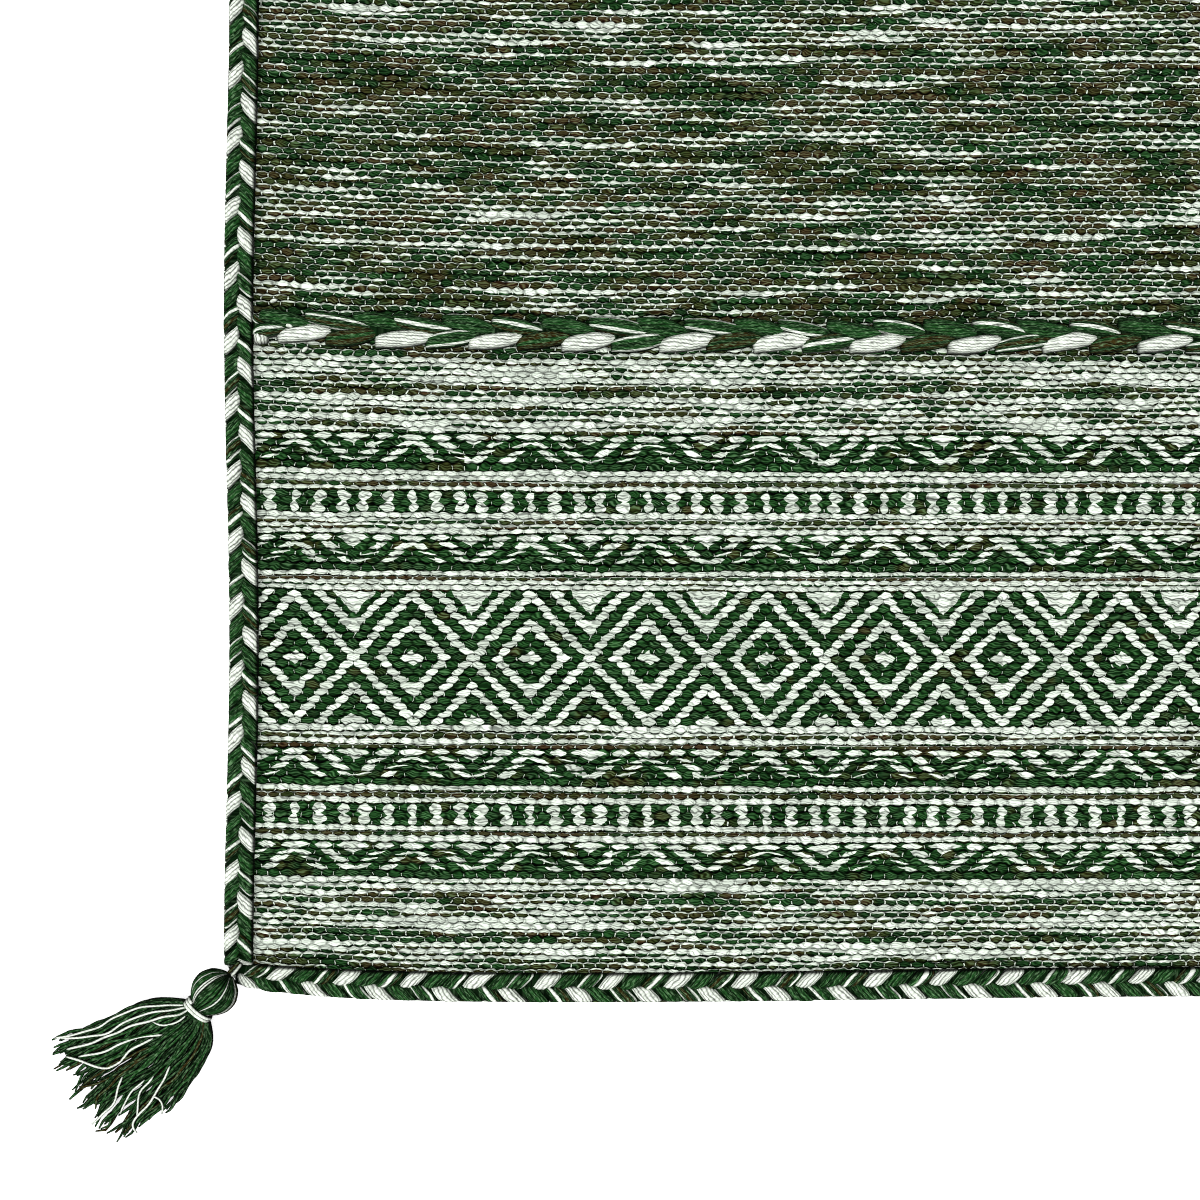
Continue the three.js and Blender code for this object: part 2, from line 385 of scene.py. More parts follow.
@dataclass(frozen=True)
class Dyes:
    """The cotton's dyed colours, as they look in daylight.

    Attributes:
        green: the main dye.
        deep_green: the same in yarns that took more of it.
        olive: a dark weft, between the green and the brown.
        brown: the brown wefts.
        umber: the brown yarns of the plaits and tassels.
        mint: the pale wefts.
        pale: the pale yarns of the plaits, tassels and ties.
        painted_highlight: the colour of the painted highlight on a dark yarn's fluff.
    """

    green: str = "#1c431d"
    deep_green: str = "#122b13"
    olive: str = "#2d3415"
    brown: str = "#3c2a19"
    umber: str = "#30270f"
    mint: str = "#e3efdf"
    pale: str = "#dfe7da"
    painted_highlight: str = "#7ba275"


DYES = Dyes()


# The order of the weave


class Band(Enum):
    """What a band of rows shows."""

    MELANGE = 0
    PALE = 1
    BROWN = 2
    FIELD = 3
    ZIGZAG = 4
    CHECK = 5
    DIAMOND = 6
    MIXED = 7


@dataclass(frozen=True)
class Rows:
    """Some rows of weft woven alike, and the height in mm that they take together."""

    band: Band
    count: int
    height: float


@dataclass(frozen=True)
class WeaveOrder:
    """The rows from one end to the other. The far panel repeats the near one, turned about.

    Attributes:
        column: from one warp to the next, in mm.
        first_diamond: X of a line of diamond centres, in mm.
        panel: the near panel's rows, from the near end on.
        field_rows: how many rows the field has.
    """

    column: float = 2.883
    first_diamond: float = -419.8
    panel: tuple[Rows, ...] = (
        Rows(Band.MELANGE, 19, 53.0),
        Rows(Band.ZIGZAG, 5, 15.6),
        Rows(Band.PALE, 1, 3.1),
        Rows(Band.BROWN, 1, 1.7),
        Rows(Band.PALE, 1, 2.7),
        Rows(Band.CHECK, 3, 9.3),
        Rows(Band.PALE, 1, 2.9),
        Rows(Band.BROWN, 1, 2.2),
        Rows(Band.PALE, 1, 3.2),
        Rows(Band.ZIGZAG, 5, 16.3),
        Rows(Band.BROWN, 1, 1.8),
        Rows(Band.PALE, 1, 2.6),
        Rows(Band.MIXED, 1, 2.6),
        Rows(Band.PALE, 1, 3.3),
        Rows(Band.DIAMOND, 19, 59.2),
        Rows(Band.PALE, 2, 4.8),
        Rows(Band.BROWN, 1, 1.4),
        Rows(Band.PALE, 1, 2.6),
        Rows(Band.ZIGZAG, 5, 15.9),
        Rows(Band.PALE, 1, 2.5),
        Rows(Band.MIXED, 2, 4.4),
        Rows(Band.PALE, 1, 2.7),
        Rows(Band.CHECK, 3, 9.2),
        Rows(Band.PALE, 1, 2.3),
        Rows(Band.BROWN, 1, 2.0),
        Rows(Band.PALE, 2, 5.0),
        Rows(Band.ZIGZAG, 5, 15.8),
        Rows(Band.MELANGE, 16, 43.9),
    )
    field_rows: int = 327

    def heights(self) -> np.ndarray:
        """Works out how high every row is.

        Returns:
            Their heights from the near end to the far one, in mm.
        """
        panel = [rows.height / rows.count for rows in self.panel for _ in range(rows.count)]
        left = PLAN.length - 2 * sum(panel)
        return np.array(panel + [left / self.field_rows] * self.field_rows + panel[::-1])

    def starts(self) -> list[tuple[int, Rows]]:
        """Counts where each band of the panel starts.

        Returns:
            Each band's first row and the band.
        """
        found = []
        row = 0
        for rows in self.panel:
            found.append((row, rows))
            row += rows.count
        return found

    @property
    def panel_rows(self) -> int:
        """Gives how many rows a panel has."""
        return sum(rows.count for rows in self.panel)

    @property
    def total(self) -> int:
        """Gives how many rows the rug has."""
        return 2 * self.panel_rows + self.field_rows


ORDER = WeaveOrder()
RAMP_ROWS = 128  # the rows that a colour ramp spans: more than a panel has, and its shares are exact
HALF = 9.0  # columns, or rows, from a diamond's centre to its lattice line
CHECK_STEP = 3.72  # columns from one check to the next


@dataclass(frozen=True)
class FlatWeave:
    """Cotton flat weave: wefts of several yarns over pale warps, each float a plump lozenge.

    Mixed wefts hold a pale yarn on their upper side, so it shows as an arc along each float's top,
    and the more of it a stretch holds the paler its floats are. A warp shows as a tick between two
    floats of a dark row. The charted bands lay whole pale floats over a green ground.

    Attributes:
        bulge: how far a float swells into the rows beside it, in rows.
        relief: how far a float stands up, in mm.
        roughness: how rough the cloth is.
        sheen: how much its fluff catches the light.
    """

    bulge: float = 0.15
    relief: float = 0.5
    roughness: float = 0.92
    sheen: float = 0.005

    def bands(self, graph: Graph, row: Wire) -> tuple[Wire, Wire, Wire]:
        """Looks up what a row is.

        Args:
            graph: the material's nodes.
            row: the row's number, counted from the nearer end.

        Returns:
            The pale yarn's mean share, how far it strays, and how brown the dark yarns are.
        """
        looks = {
            Band.MELANGE: (0.44, 0.85, 0.52),
            Band.PALE: (0.74, 0.36, 0.5),
            Band.BROWN: (0.1, 0.2, 0.8),
            Band.MIXED: (0.4, 0.6, 0.7),
            Band.FIELD: (0.19, 0.75, 0.56),
            Band.ZIGZAG: (0.0, 0.0, 0.2),
            Band.CHECK: (0.0, 0.0, 0.12),
            Band.DIAMOND: (0.0, 0.0, 0.06),
        }
        stops = [(start / RAMP_ROWS, (*looks[rows.band], 1.0)) for start, rows in ORDER.starts()]
        stops.append((ORDER.panel_rows / RAMP_ROWS, (*looks[Band.FIELD], 1.0)))
        return graph.ramp((row + 0.5) / RAMP_ROWS, stops, steps=True).parts()

    def charts(self, graph: Graph, row: Wire) -> tuple[Wire, Wire]:
        """Looks up which chart a row follows and where that chart starts.

        Args:
            graph: the material's nodes.
            row: the row's number, counted from the nearer end.

        Returns:
            The band's number, under 3.5 where there is no chart, and its first row.
        """
        last = Band.DIAMOND.value
        stops = []
        for start, rows in ORDER.starts():
            code = rows.band.value if rows.band.value <= last else 0
            stops.append((start / RAMP_ROWS, (code / last, start / RAMP_ROWS, 0.0, 1.0)))
        stops.append((ORDER.panel_rows / RAMP_ROWS, (Band.FIELD.value / last, 0.0, 0.0, 1.0)))
        band, start, _ = graph.ramp((row + 0.5) / RAMP_ROWS, stops, steps=True).parts()
        return band * last, start * RAMP_ROWS

    @staticmethod
    def diamonds(across: Wire, row: Wire, start: Wire, up: Wire) -> Wire:
        """Charts the diamonds, nine rows and nine columns from a centre to its lattice line.

        Args:
            across: columns from the nearest line of centres, 0 to 9.
            row: the row's number.
            start: the band's first row.
            up: how far up its row the point is, 0 to 1.

        Returns:
            1 where a pale float lies.
        """
        climb = row - start - HALF + (up - 0.5) * 0.75
        reach = across + abs(climb)
        second = reach > HALF
        nearest = reach.maths("MINIMUM", 2 * HALF - reach)
        off_stroke = abs(nearest - 5.0).maths("MINIMUM", HALF - nearest)
        edge = abs(up - 0.5) * 2.0
        stroke = off_stroke < 0.9 - edge * edge * 0.5
        beside = across + second * (HALF - across * 2.0)
        over = climb - climb.maths("SIGN") * second * HALF
        eye = beside * 0.72 + abs(over) * 1.25 < 1.3
        wedge = (beside < (over + 5.9) * 0.9) * (over < -3.4)
        crown = (beside < (over + 2.9) * 0.95) * second * (climb > 0.0) * (over > -3.0)
        return stroke.maths("MAXIMUM", eye).maths("MAXIMUM", wedge).maths("MAXIMUM", crown)

    @staticmethod
    def zigzags(across: Wire, row: Wire, start: Wire, up: Wire, plump: Wire) -> Wire:
        """Charts the zigzags, two lines of lens-shaped floats down from each line of centres.

        Args:
            across: columns from the nearest line of centres, 0 to 9.
            row: the row's number.
            start: the band's first row.
            up: how far up its row the point is, 0 to 1.
            plump: how plump this float is, 0 to 1.

        Returns:
            1 where a pale float lies.
        """
        down = 4.0 - (row - start)
        top = down < 0.5
        inner = across - down * 1.2
        outer = across - down * 1.2 - 4.3
        first = abs(inner) < abs(outer)
        beside = outer + (inner - outer) * first
        half_long = 1.5 + top * first * 0.6
        half_high = (0.1 + plump * 0.37).maths("MAXIMUM", top * 0.43)
        slope = (1.0 - top) * 0.2
        spread = beside / half_long
        stroke = abs(up - 0.5 + beside * slope) < half_high * (1.0 - spread * spread)
        side = (HALF - across) / 2.5
        cap = (abs(up - 0.52) < (1.0 - side * side) * 0.47) * top
        point = (HALF - across < (up - 0.45) * 2.2) * (down > 0.5) * (down < 1.5)
        return stroke.maths("MAXIMUM", cap).maths("MAXIMUM", point) * (down < 3.5)

    @staticmethod
    def checks(across: Wire, height: Wire, start: Wire) -> Wire:
        """Charts the checks, two rows of pale ovals tied by a warp.

        Args:
            across: columns from the nearest line of centres, 0 to 9.
            height: the height in rows.
            start: the band's first row.

        Returns:
            1 where an oval or its warp shows.
        """
        level = (height - start) / 1.5
        up = abs(level - level.floor() - 0.5) * 2.0
        spot = (across / CHECK_STEP + 0.5).floor()
        beside = abs(across - spot * CHECK_STEP)
        half = 0.68 + spot.maths("MINIMUM", 1.0) * 0.34
        oval = beside / half + up * up * 0.75 < 1.0
        warp = beside < 0.1
        return oval.maths("MAXIMUM", warp)

    def material(self) -> bpy.types.Material:
        """Builds the material. Its colour and relief come from the cloth's own rows and columns.

        Returns:
            The finished material.
        """
        # Woven of soft cotton and left unpressed, so it is matt from every side, and the eye reads
        # it by its pale and dyed yarns and by the dark gaps round each float, whose shade is painted.
        # A float's three yarns are 0.9 mm apart, as real ones are. Their fibres, about 0.02 mm thick,
        # can't show, and are drawn as a painted highlight on each yarn, some 0.4 mm wide.
        graph = Graph("cotton flat weave")
        place = graph.add("ShaderNodeAttribute", attribute_name="weave", out="Vector")
        column, height, _ = place.parts()

        def noise(columns: float, along: Feed, detail: float = 0.0) -> Wire:
            """Gives soft patches, from -0.5 to 0.5, each so many columns wide."""
            return graph.patches(column / columns, along, detail) - 0.5

        def chance(first: Feed, second: Feed) -> Wire:
            """Gives a number from 0 to 1 at random for each pair of whole numbers."""
            spot = graph.add("ShaderNodeCombineXYZ", first, second)
            return graph.add("ShaderNodeTexWhiteNoise", spot, noise_dimensions="2D")

        # The rows and columns wander a little, and each float swells into the rows beside it
        across = column + noise(5.0, height * 0.7) * 0.9 + noise(0.9, height * 1.9) * 0.22
        level = height + noise(7.0, height * 0.45) * 0.5 + noise(0.8, height * 2.3) * 0.2
        swell = (across * math.pi).maths("COSINE") * (level * math.pi).maths("COSINE")
        bulged = level + swell * self.bulge
        row = bulged.floor()
        up = bulged - row
        chart_level = level.maths("MINIMUM", ORDER.total - level)
        chart_row = chart_level.floor()
        chart_up = chart_level - chart_row

        # A float is two columns long, and lies a column further on from row to row
        float_place = (across - row) * 0.5 + 0.5
        cell = float_place.floor()
        beside = abs(float_place - cell - 0.5)
        luck = chance(cell, row)
        share, stray, browning = self.bands(graph, row.maths("MINIMUM", ORDER.total - 1.0 - row))
        band, start = self.charts(graph, chart_row)
        charted = band > Band.FIELD.value + 0.5

        def is_band(kind: Band) -> Wire:
            """Gives 1 in the rows that follow that band's chart."""
            return (band > kind.value - 0.5) * (band < kind.value + 0.5)

        # How much pale yarn a stretch of a mixed weft holds, and so how far down its floats it shows
        streak = noise(18.0, row * 7.31, 2.0) * 1.7 + (chance(row, 0.5) - 0.5) * 0.55
        flare = (noise(15.0, row * 3.97 + 40.0) - 0.12).maths("MAXIMUM", 0.0) * 2.6
        held = share + (streak + flare + (luck - 0.5) * 0.2) * stray
        mixed = up * 0.6 + (level - level.floor()) * 0.4 > 1.0 - held

        # The charted floats, and the warps that show as ticks between dark ones
        fold = across.maths("PINGPONG", HALF)
        plump = chance((across / 4.5 + 0.25).floor(), row)
        diamond = self.diamonds(fold, chart_row, start, chart_up) * is_band(Band.DIAMOND)
        zigzag = self.zigzags(fold, chart_row, start, chart_up, plump) * is_band(Band.ZIGZAG)
        check = self.checks(fold, chart_level, start) * is_band(Band.CHECK)
        pale = mixed * (1.0 - charted) + diamond + zigzag + check
        tick = (beside > 0.456) * (abs(up - 0.4) < 0.32) * (luck < 0.8 - charted * 0.45)
        pale = pale.maths("MAXIMUM", tick)

        # Painted shade in the gaps at a float's foot, head and ends, and the yarns that lie slanting in
        # it
        edge = abs(up - 0.5) * 2.0
        foot = (1.0 - up).within(0.7, 0.87) * (0.9 + noise(6.0, row * 3.7) * 0.8)
        head = up.within(0.82, 0.96) * (1.0 - pale * 0.75)
        gap = foot.maths("MAXIMUM", head)
        gap = gap.maths("MAXIMUM", beside.within(0.3, 0.47) * 0.7 * (1.0 - charted * pale))
        gap = gap * (1.0 - tick * 0.9)
        fibre = (level * 3.1 + across * 0.42 + noise(2.2, level * 1.3) * 2.6) * TURN
        wave = fibre.maths("SINE")
        yarns = wave.within(-0.9, 0.5)
        plies = wave.within(-0.95, -0.1) * 0.72 + luck * 0.28

        # Dark stretches drift from green to brown, each yarn with a painted highlight along its top
        tint = noise(9.0, row * 3.17, 2.0) * 2.4 + (luck - 0.5) * 0.35 + browning - 0.5
        dark = graph.ramp(tint.within(-0.6, 0.6), [
            (0.0, linear(DYES.green)), (0.45, linear(DYES.deep_green)),
            (0.62, linear(DYES.olive)), (1.0, linear(DYES.brown)),
        ])
        # Painted highlight along the crest of each dark yarn
        painted_highlight = wave.within(0.2, 1.0) * (luck * 0.17 + 0.03)
        dark = graph.blend(painted_highlight, dark, linear(DYES.painted_highlight))
        colour = graph.blend(pale, dark, linear(DYES.mint))
        # Painted light and shade across each yarn's round, and painted shade in the float's gaps
        painted_dark_yarn_shade = 0.34 + yarns * 1.1
        strands = painted_dark_yarn_shade + (0.26 + plies * 0.82 - painted_dark_yarn_shade) * pale
        shade = (1.0 - gap * (0.98 - pale * 0.13)) * strands * (0.86 + luck * 0.28)
        lit = graph.add("ShaderNodeVectorMath", colour, operation="SCALE", Scale=shade)
        relief = (1.0 - edge * edge) * (1.0 - beside * beside * 2.6)
        return graph.finish(lit, relief, self.relief, self.roughness, self.sheen)


class Dye(Enum):
    """What a yarn is dyed, as its material counts them."""

    GREEN = 0
    PALE = 1
    BROWN = 2
    DEEP = 3


DYED = {
    Dye.GREEN: DYES.green,
    Dye.PALE: DYES.pale,
    Dye.BROWN: DYES.umber,
    Dye.DEEP: DYES.deep_green,
}


@dataclass(frozen=True)
class PliedYarn:
    """Soft plied cotton yarn, matt and slightly fluffy, with a slanting ply along each yarn.

    Attributes:
        name: the material's name.
        lay: how long one turn of the ply is, in mm.
        relief: how far a yarn stands up, in mm.
        sway: how far the yarns of a strand wander across it, in yarns.
        painted_highlight: how strong the painted highlight on the dark yarns' fluff is.
        shut: how far a surface may turn from above before no light gets in, as its normal's height.
        open: from what height of its normal on a surface is fully lit.
        roughness: how rough the yarn is.
        sheen: how much its fluff catches the light.
    """

    name: str
    lay: float = 1.7
    relief: float = 0.25
    sway: float = 0.9
    painted_highlight: float = 0.46
    shut: float = 0.2
    open: float = 0.8
    roughness: float = 0.88
    sheen: float = 0.005

    def material(self) -> bpy.types.Material:
        """Builds the material, which reads each yarn's place, length and dye from the mesh.

        Returns:
            The finished material.
        """
        # Spun loosely and plied, so it is as matt as felt, and the eye reads it by the dark furrows
        # between its yarns, painted in shade, and the slant of its plies, 1.7 mm a turn as on the real
        # yarn. Its fluff, of fibres about 0.02 mm thick, can't show, and is drawn as painted highlights
        # 2 to 3 mm long.
        graph = Graph(self.name)
        place = graph.add("ShaderNodeAttribute", attribute_name="yarn", out="Vector")
        round_it, along, dye = place.parts()

        # Which yarn the point is on and how far from its middle, with the yarns swaying
        wander = graph.patches(along * 0.28, round_it * 0.6 + dye * 2.3, 1.0) - 0.5
        laid = round_it + wander * self.sway
        number = (laid + 0.5).floor()
        beside = laid - number
        lean = abs(beside)
        ply = ((along / self.lay + beside * 0.9) * TURN).maths("SINE") * 0.5 + 0.5
        fluff = graph.patches(along * 0.3, number * 5.3 + dye * 3.1, 2.0)
        loose = graph.patches(along * 0.12, number * 2.9 + dye * 1.7, 1.0)
        valley = lean.within(0.18, 0.48) * (0.1 + loose * 1.45).maths("MINIMUM", 1.0)

        # Its dye, with a painted highlight on the dark yarns' fluff
        stops = [(kind.value / len(Dye), linear(code)) for kind, code in DYED.items()]
        base = graph.ramp(dye / len(Dye) + 0.05, stops, steps=True)
        streak = graph.patches(along * 0.4, laid * 3.4 + dye * 7.7, 1.0)
        dark = abs(dye - Dye.PALE.value) > 0.5
        painted_highlight = streak.within(0.47, 0.72) * (1.0 - valley) * self.painted_highlight * dark
        base = graph.blend(painted_highlight, base, linear(DYES.painted_highlight))

        # Painted shade and light: little light in the furrows and where it turns down from above, the
        # ply's twist painted lighter and darker, and patches of uneven tone
        facing = graph.add("ShaderNodeNewGeometry", out="Normal").parts()[2]
        shade = (1.0 - valley * 0.9) * (0.8 + ply * 0.28) * (0.6 + fluff * 1.04)
        shade = shade * (0.05 + facing.within(self.shut, self.open) * 1.02)
        lit = graph.add("ShaderNodeVectorMath", base, operation="SCALE", Scale=shade)
        relief = (1.0 - lean * 2.0) * 0.7 + ply * 0.3
        return graph.finish(lit, relief, self.relief, self.roughness, self.sheen)


# Meshes


def mesh_piece(name: str, points: np.ndarray, faces: list, corners: np.ndarray,
               attribute: str, finish: bpy.types.Material) -> bpy.types.Object:
    """Makes a piece from points in mm on the rug's plan.

    Args:
        name: the piece's name.
        points: its points, one a row.
        faces: each face's point numbers, anticlockwise from outside.
        corners: the value of the attribute at each face's corners, in the order of the faces.
        attribute: the name of the attribute that its material reads.
        finish: its material.

    Returns:
        The new object.
    """
    mesh = bpy.data.meshes.new(name)
    mesh.from_pydata(to_metres(points).tolist(), [], faces)
    mesh.polygons.foreach_set("use_smooth", [True] * len(mesh.polygons))
    layer = mesh.attributes.new(attribute, "FLOAT_VECTOR", "CORNER")
    layer.data.foreach_set("vector", np.asarray(corners, np.float32).ravel())
    mesh.materials.append(finish)
    piece = bpy.data.objects.new(name, mesh)
    bpy.context.scene.collection.objects.link(piece)
    return piece


@dataclass
class Tubes:
    """Many yarns and lobes gathered into one mesh.

    Attributes:
        points: the points of each, in mm.
        faces: the point numbers of every face.
        corners: the attribute's value at the faces' corners: yarn across, mm along and dye.
        count: how many points there are.
    """

    points: list = field(default_factory=list)
    faces: list = field(default_factory=list)
    corners: list = field(default_factory=list)
    count: int = 0

    def add(self, path: np.ndarray, half_width: np.ndarray, half_height: np.ndarray, sides: int,
            dyes: np.ndarray, ways: np.ndarray | None = None, dome: bool = False,
            ridge: float = 0.0, floor: float = 0.0, start: float = 0.0, slant: float = 0.0) -> None:
        """Adds one yarn or one domed lobe of a strand, closed at both ends.

        Args:
            path: its middle line, or a lobe's line along its foot, one point a row, in mm.
            half_width: half its width at each point.
            half_height: half its height at each point, or a lobe's whole height.
            sides: how many points go round it, for a lobe two to a yarn and one more.
            dyes: the yarn's dye, or those of a lobe's yarns from side to side.
            ways: the way across it at each point, or None for square across.
            dome: whether it is a lobe, which is flat below.
            ridge: how deep the furrows between a lobe's yarns are, as a share of its size.
            floor: the height that it can't go below, where it lies flat.
            start: how far along their length its yarns are where it begins.
            slant: how many yarns its yarns drift across it for each mm.
        """
        rings = len(path)
        along = unit(np.gradient(path, axis=0))
        side = unit(np.cross(along, UP)) if ways is None else ways
        up = np.tile(UP, (rings, 1)) if dome else np.cross(side, along)
        length = run_along(path)
        number = np.arange(sides)
        if dome:
            # A little fuller than a half circle, with a furrow at every other point
            angle = math.pi * number / (sides - 1)
            furrow = 1 - ridge * (1 - number % 2)
            out = np.sign(np.cos(angle)) * np.abs(np.cos(angle)) ** 0.85 * furrow
            lift = np.maximum(np.sin(angle), 0.0) ** 0.75 * furrow
            place, yarn = number / 2 - 0.5, number // 2
        else:
            angle = TURN * number / sides
            out, lift = np.cos(angle), np.sin(angle)
            place, yarn = 2 * number / sides - 0.5, 0 * number
        out = out * half_width[:, None]
        lift = lift * half_height[:, None]
        ring = path[:, None, :] + side[:, None, :] * out[..., None] + up[:, None, :] * lift[..., None]
        ring[..., 2] = np.maximum(ring[..., 2], floor)
        self.points.append(ring.reshape(-1, 3))
        i, j = np.meshgrid(np.arange(rings - 1), number, indexing="ij")
        a = self.count + i * sides + j
        b = self.count + i * sides + (j + 1) % sides
        quads = np.stack([a, a + sides, b + sides, b], -1).reshape(-1, 4)
        dye = dyes[yarn % len(dyes)][j]
        step = (place[1] - place[0]) * np.ones(sides)
        here, there = place[j], (place + step)[j]
        low, high = start + length[i], start + length[i + 1]
        by, on = slant * length[i], slant * length[i + 1]
        corner = np.stack([
            np.stack([here + by, low, dye], -1), np.stack([here + on, high, dye], -1),
            np.stack([there + on, high, dye], -1), np.stack([there + by, low, dye], -1),
        ], 2)
        self.faces += quads.tolist()
        last = self.count + (rings - 1) * sides
        self.faces.append((self.count + number).tolist())
        self.faces.append((last + number[::-1]).tolist())
        self.corners.append(corner.reshape(-1, 3))
        self.corners.append(np.tile([0.0, start, dyes[0]], (2 * sides, 1)))
        self.count += rings * sides

    def paint_furrow_shade(self) -> None:
        """Paints what was added last in the near-black shade of a furrow, by placing it between two
        yarns all over.
        """
        self.corners[-2][:, 0] = 0.5

    def piece(self, name: str, finish: bpy.types.Material) -> bpy.types.Object:
        """Makes one piece of all that was added."""
        corners = np.concatenate(self.corners)
        return mesh_piece(name, np.concatenate(self.points), self.faces, corners, "yarn", finish)


# Cloth


@dataclass
class Cloth:
    """The woven cloth, whose mesh has a ridge for each row of weft.

    Attributes:
        columns: how many faces it has across.
        crest: how high the middle of a row is, in mm.
        valley: how high the line between two rows is.
        ripple: how unevenly it lies.
        side_drop: how much lower its side edges are.
        end_drop: how much lower its end edges are.
        under_lines: how many faces the underside has along.
        edge_step: how wide the faces at the sides are.
        bow_reach: how far in from the sides the rows bow.
        draw_in: how far from an end the rows follow that end's wave.
        bow: distances from the near end, and how far the rows bow there.
        margin: how much room the flat layout leaves round the cloth.
    """

    columns: int = 80
    crest: float = 3.0
    valley: float = 2.62
    ripple: float = 0.12
    side_drop: float = 1.0
    end_drop: float = 0.6
    under_lines: int = 40
    edge_step: float = 2.2
    bow_reach: float = 88.0
    draw_in: float = 22.0
    bow: tuple[tuple[float, float], ...] = (
        (0, 0), (30, 1.6), (60, 2), (200, 1.5), (245, 3), (292, 5.3), (330, 7), (450, 6.5), (750, 0),
    )
    margin: float = 4.0

    def bowed(self, x: np.ndarray, v: np.ndarray) -> np.ndarray:
        """Gives where the points of a row lie, since rows bow at the sides and wave at the ends.

        Args:
            x: X of the points.
            v: the row's distance from the near end.

        Returns:
            Y of the points.
        """
        places, heights = np.array(self.bow).T
        lift = np.interp(v, places, heights) - np.interp(PLAN.length - v, places, heights)
        run = np.where(v < PLAN.length / 2, PLAN.width / 2 + x, PLAN.width / 2 - x)
        near = (PLAN.end_edge(-1, x) + PLAN.length / 2) * np.exp(-v / self.draw_in)
        far = (PLAN.end_edge(1, x) - PLAN.length / 2) * np.exp(-(PLAN.length - v) / self.draw_in)
        return v - PLAN.length / 2 + lift * np.exp(-run / self.bow_reach) + near + far

    def grid(self) -> tuple[np.ndarray, np.ndarray]:
        """Lays out the top, with a line at each row's foot and one at its middle.

        Returns:
            X, Y and Z of its points in mm, line by line, and each one's column and row.
        """
        feet = np.concatenate([[0.0], np.cumsum(ORDER.heights())])
        lines = np.interp(np.arange(2 * ORDER.total + 1) / 2, np.arange(len(feet)), feet)
        first = self.edge_step * 2.6
        inner = np.linspace(first, PLAN.width - first, self.columns - 1)[1:-1]
        ends = [PLAN.width - self.edge_step, PLAN.width]
        shares = np.concatenate([[0.0, self.edge_step], inner, ends]) / PLAN.width
        v = lines[:, None] + 0 * shares[None, :]
        left = PLAN.border(-1, lines)[:, None]
        right = PLAN.border(1, lines)[:, None]
        x = left + (right - left) * shares[None, :]
        y = self.bowed(x, v)
        ridge = (np.arange(len(lines)) % 2).astype(float)
        for start, rows in ORDER.starts():
            if rows.band is Band.CHECK:
                # Their two rows of ovals take a row and a half each
                for foot in (start, ORDER.total - start - rows.count):
                    ridge[2 * foot:2 * foot + 7] = [0, 1, 1, 0, 1, 1, 0]
        z = self.valley + (self.crest - self.valley) * ridge[:, None] + 0 * x
        z += self.ripple * np.sin(x / 37 + 1.3 * np.sin(y / 61)) * np.sin(y / 43 + x / 90)
        z[:, [0, -1]] -= self.side_drop
        z[[0, -1], :] -= self.end_drop
        column = (x - ORDER.first_diamond) / ORDER.column
        row = np.arange(len(lines))[:, None] / 2 + 0 * x
        return np.stack([x, y, z], -1), np.stack([column, row, 0 * x], -1)

    def build(self) -> bpy.types.Object:
        """Builds the cloth as one closed sheet: its top, its underside and the rim between them.

        Returns:
            The cloth.
        """
        top, weave = self.grid()
        lines, across = top.shape[:2]
        picks = np.unique(np.linspace(0, lines - 1, self.under_lines + 1).astype(int))
        under = top[picks].copy()
        under[..., 2] = 0.0
        points = np.concatenate([top.reshape(-1, 3), under.reshape(-1, 3)])
        places = np.concatenate([weave.reshape(-1, 3), weave[picks].reshape(-1, 3)])
        base = lines * across
        faces = []
        for i in range(lines - 1):
            for j in range(across - 1):
                a = i * across + j
                faces.append((a, a + 1, a + 1 + across, a + across))
        top_faces = len(faces)
        for i in range(len(picks) - 1):
            for j in range(across - 1):
                a = base + i * across + j
                faces.append((a, a + across, a + 1 + across, a + 1))
        under_faces = len(faces)
        for i in range(len(picks) - 1):
            # A face of a side's rim takes in all the top's lines between two of the underside's
            low, high = base + i * across, base + (i + 1) * across
            run = [k * across for k in range(picks[i], picks[i + 1] + 1)]
            faces.append(tuple([low, *run, high]))
            run = [k * across + across - 1 for k in range(picks[i + 1], picks[i] - 1, -1)]
            faces.append(tuple([high + across - 1, *run, low + across - 1]))
        for j in range(across - 1):
            faces.append((base + j, base + j + 1, j + 1, j))
            a = base + (len(picks) - 1) * across + j
            b = (lines - 1) * across + j
            faces.append((a + 1, a, b, b + 1))
        loops = np.concatenate([np.array(f) for f in faces])
        piece = mesh_piece("woven_cloth", points, faces, places[loops], "weave", FlatWeave().material())
        self.lay_out(piece, points[loops], [len(f) for f in faces], top_faces, under_faces)
        return piece

    def lay_out(self, piece: bpy.types.Object, spots: np.ndarray, sizes: list[int], top: int,
                under: int) -> None:
        """Lays the faces out flat for a bake, with most of the room for the top.

        Args:
            piece: the cloth.
            spots: the point at each face's corners.
            sizes: how many corners each face has.
            top: how many faces the top has, which come first.
            under: how many the top and the underside have, which come next.
        """
        number = np.repeat(np.arange(len(sizes)), sizes)
        u = (spots[:, 0] + PLAN.width / 2 + self.margin) / (PLAN.width + 2 * self.margin)
        v = (spots[:, 1] + PLAN.length / 2 + self.margin) / (PLAN.length + 2 * self.margin)
        is_top = number < top
        is_under = (number >= top) & (number < under)
        rim = ~is_top & ~is_under
        place = np.zeros((len(number), 2))
        place[is_top] = np.stack([0.005 + 0.6 * u, 0.005 + 0.99 * v], -1)[is_top]
        place[is_under] = np.stack([0.62 + 0.35 * u, 0.4 + 0.59 * v], -1)[is_under]
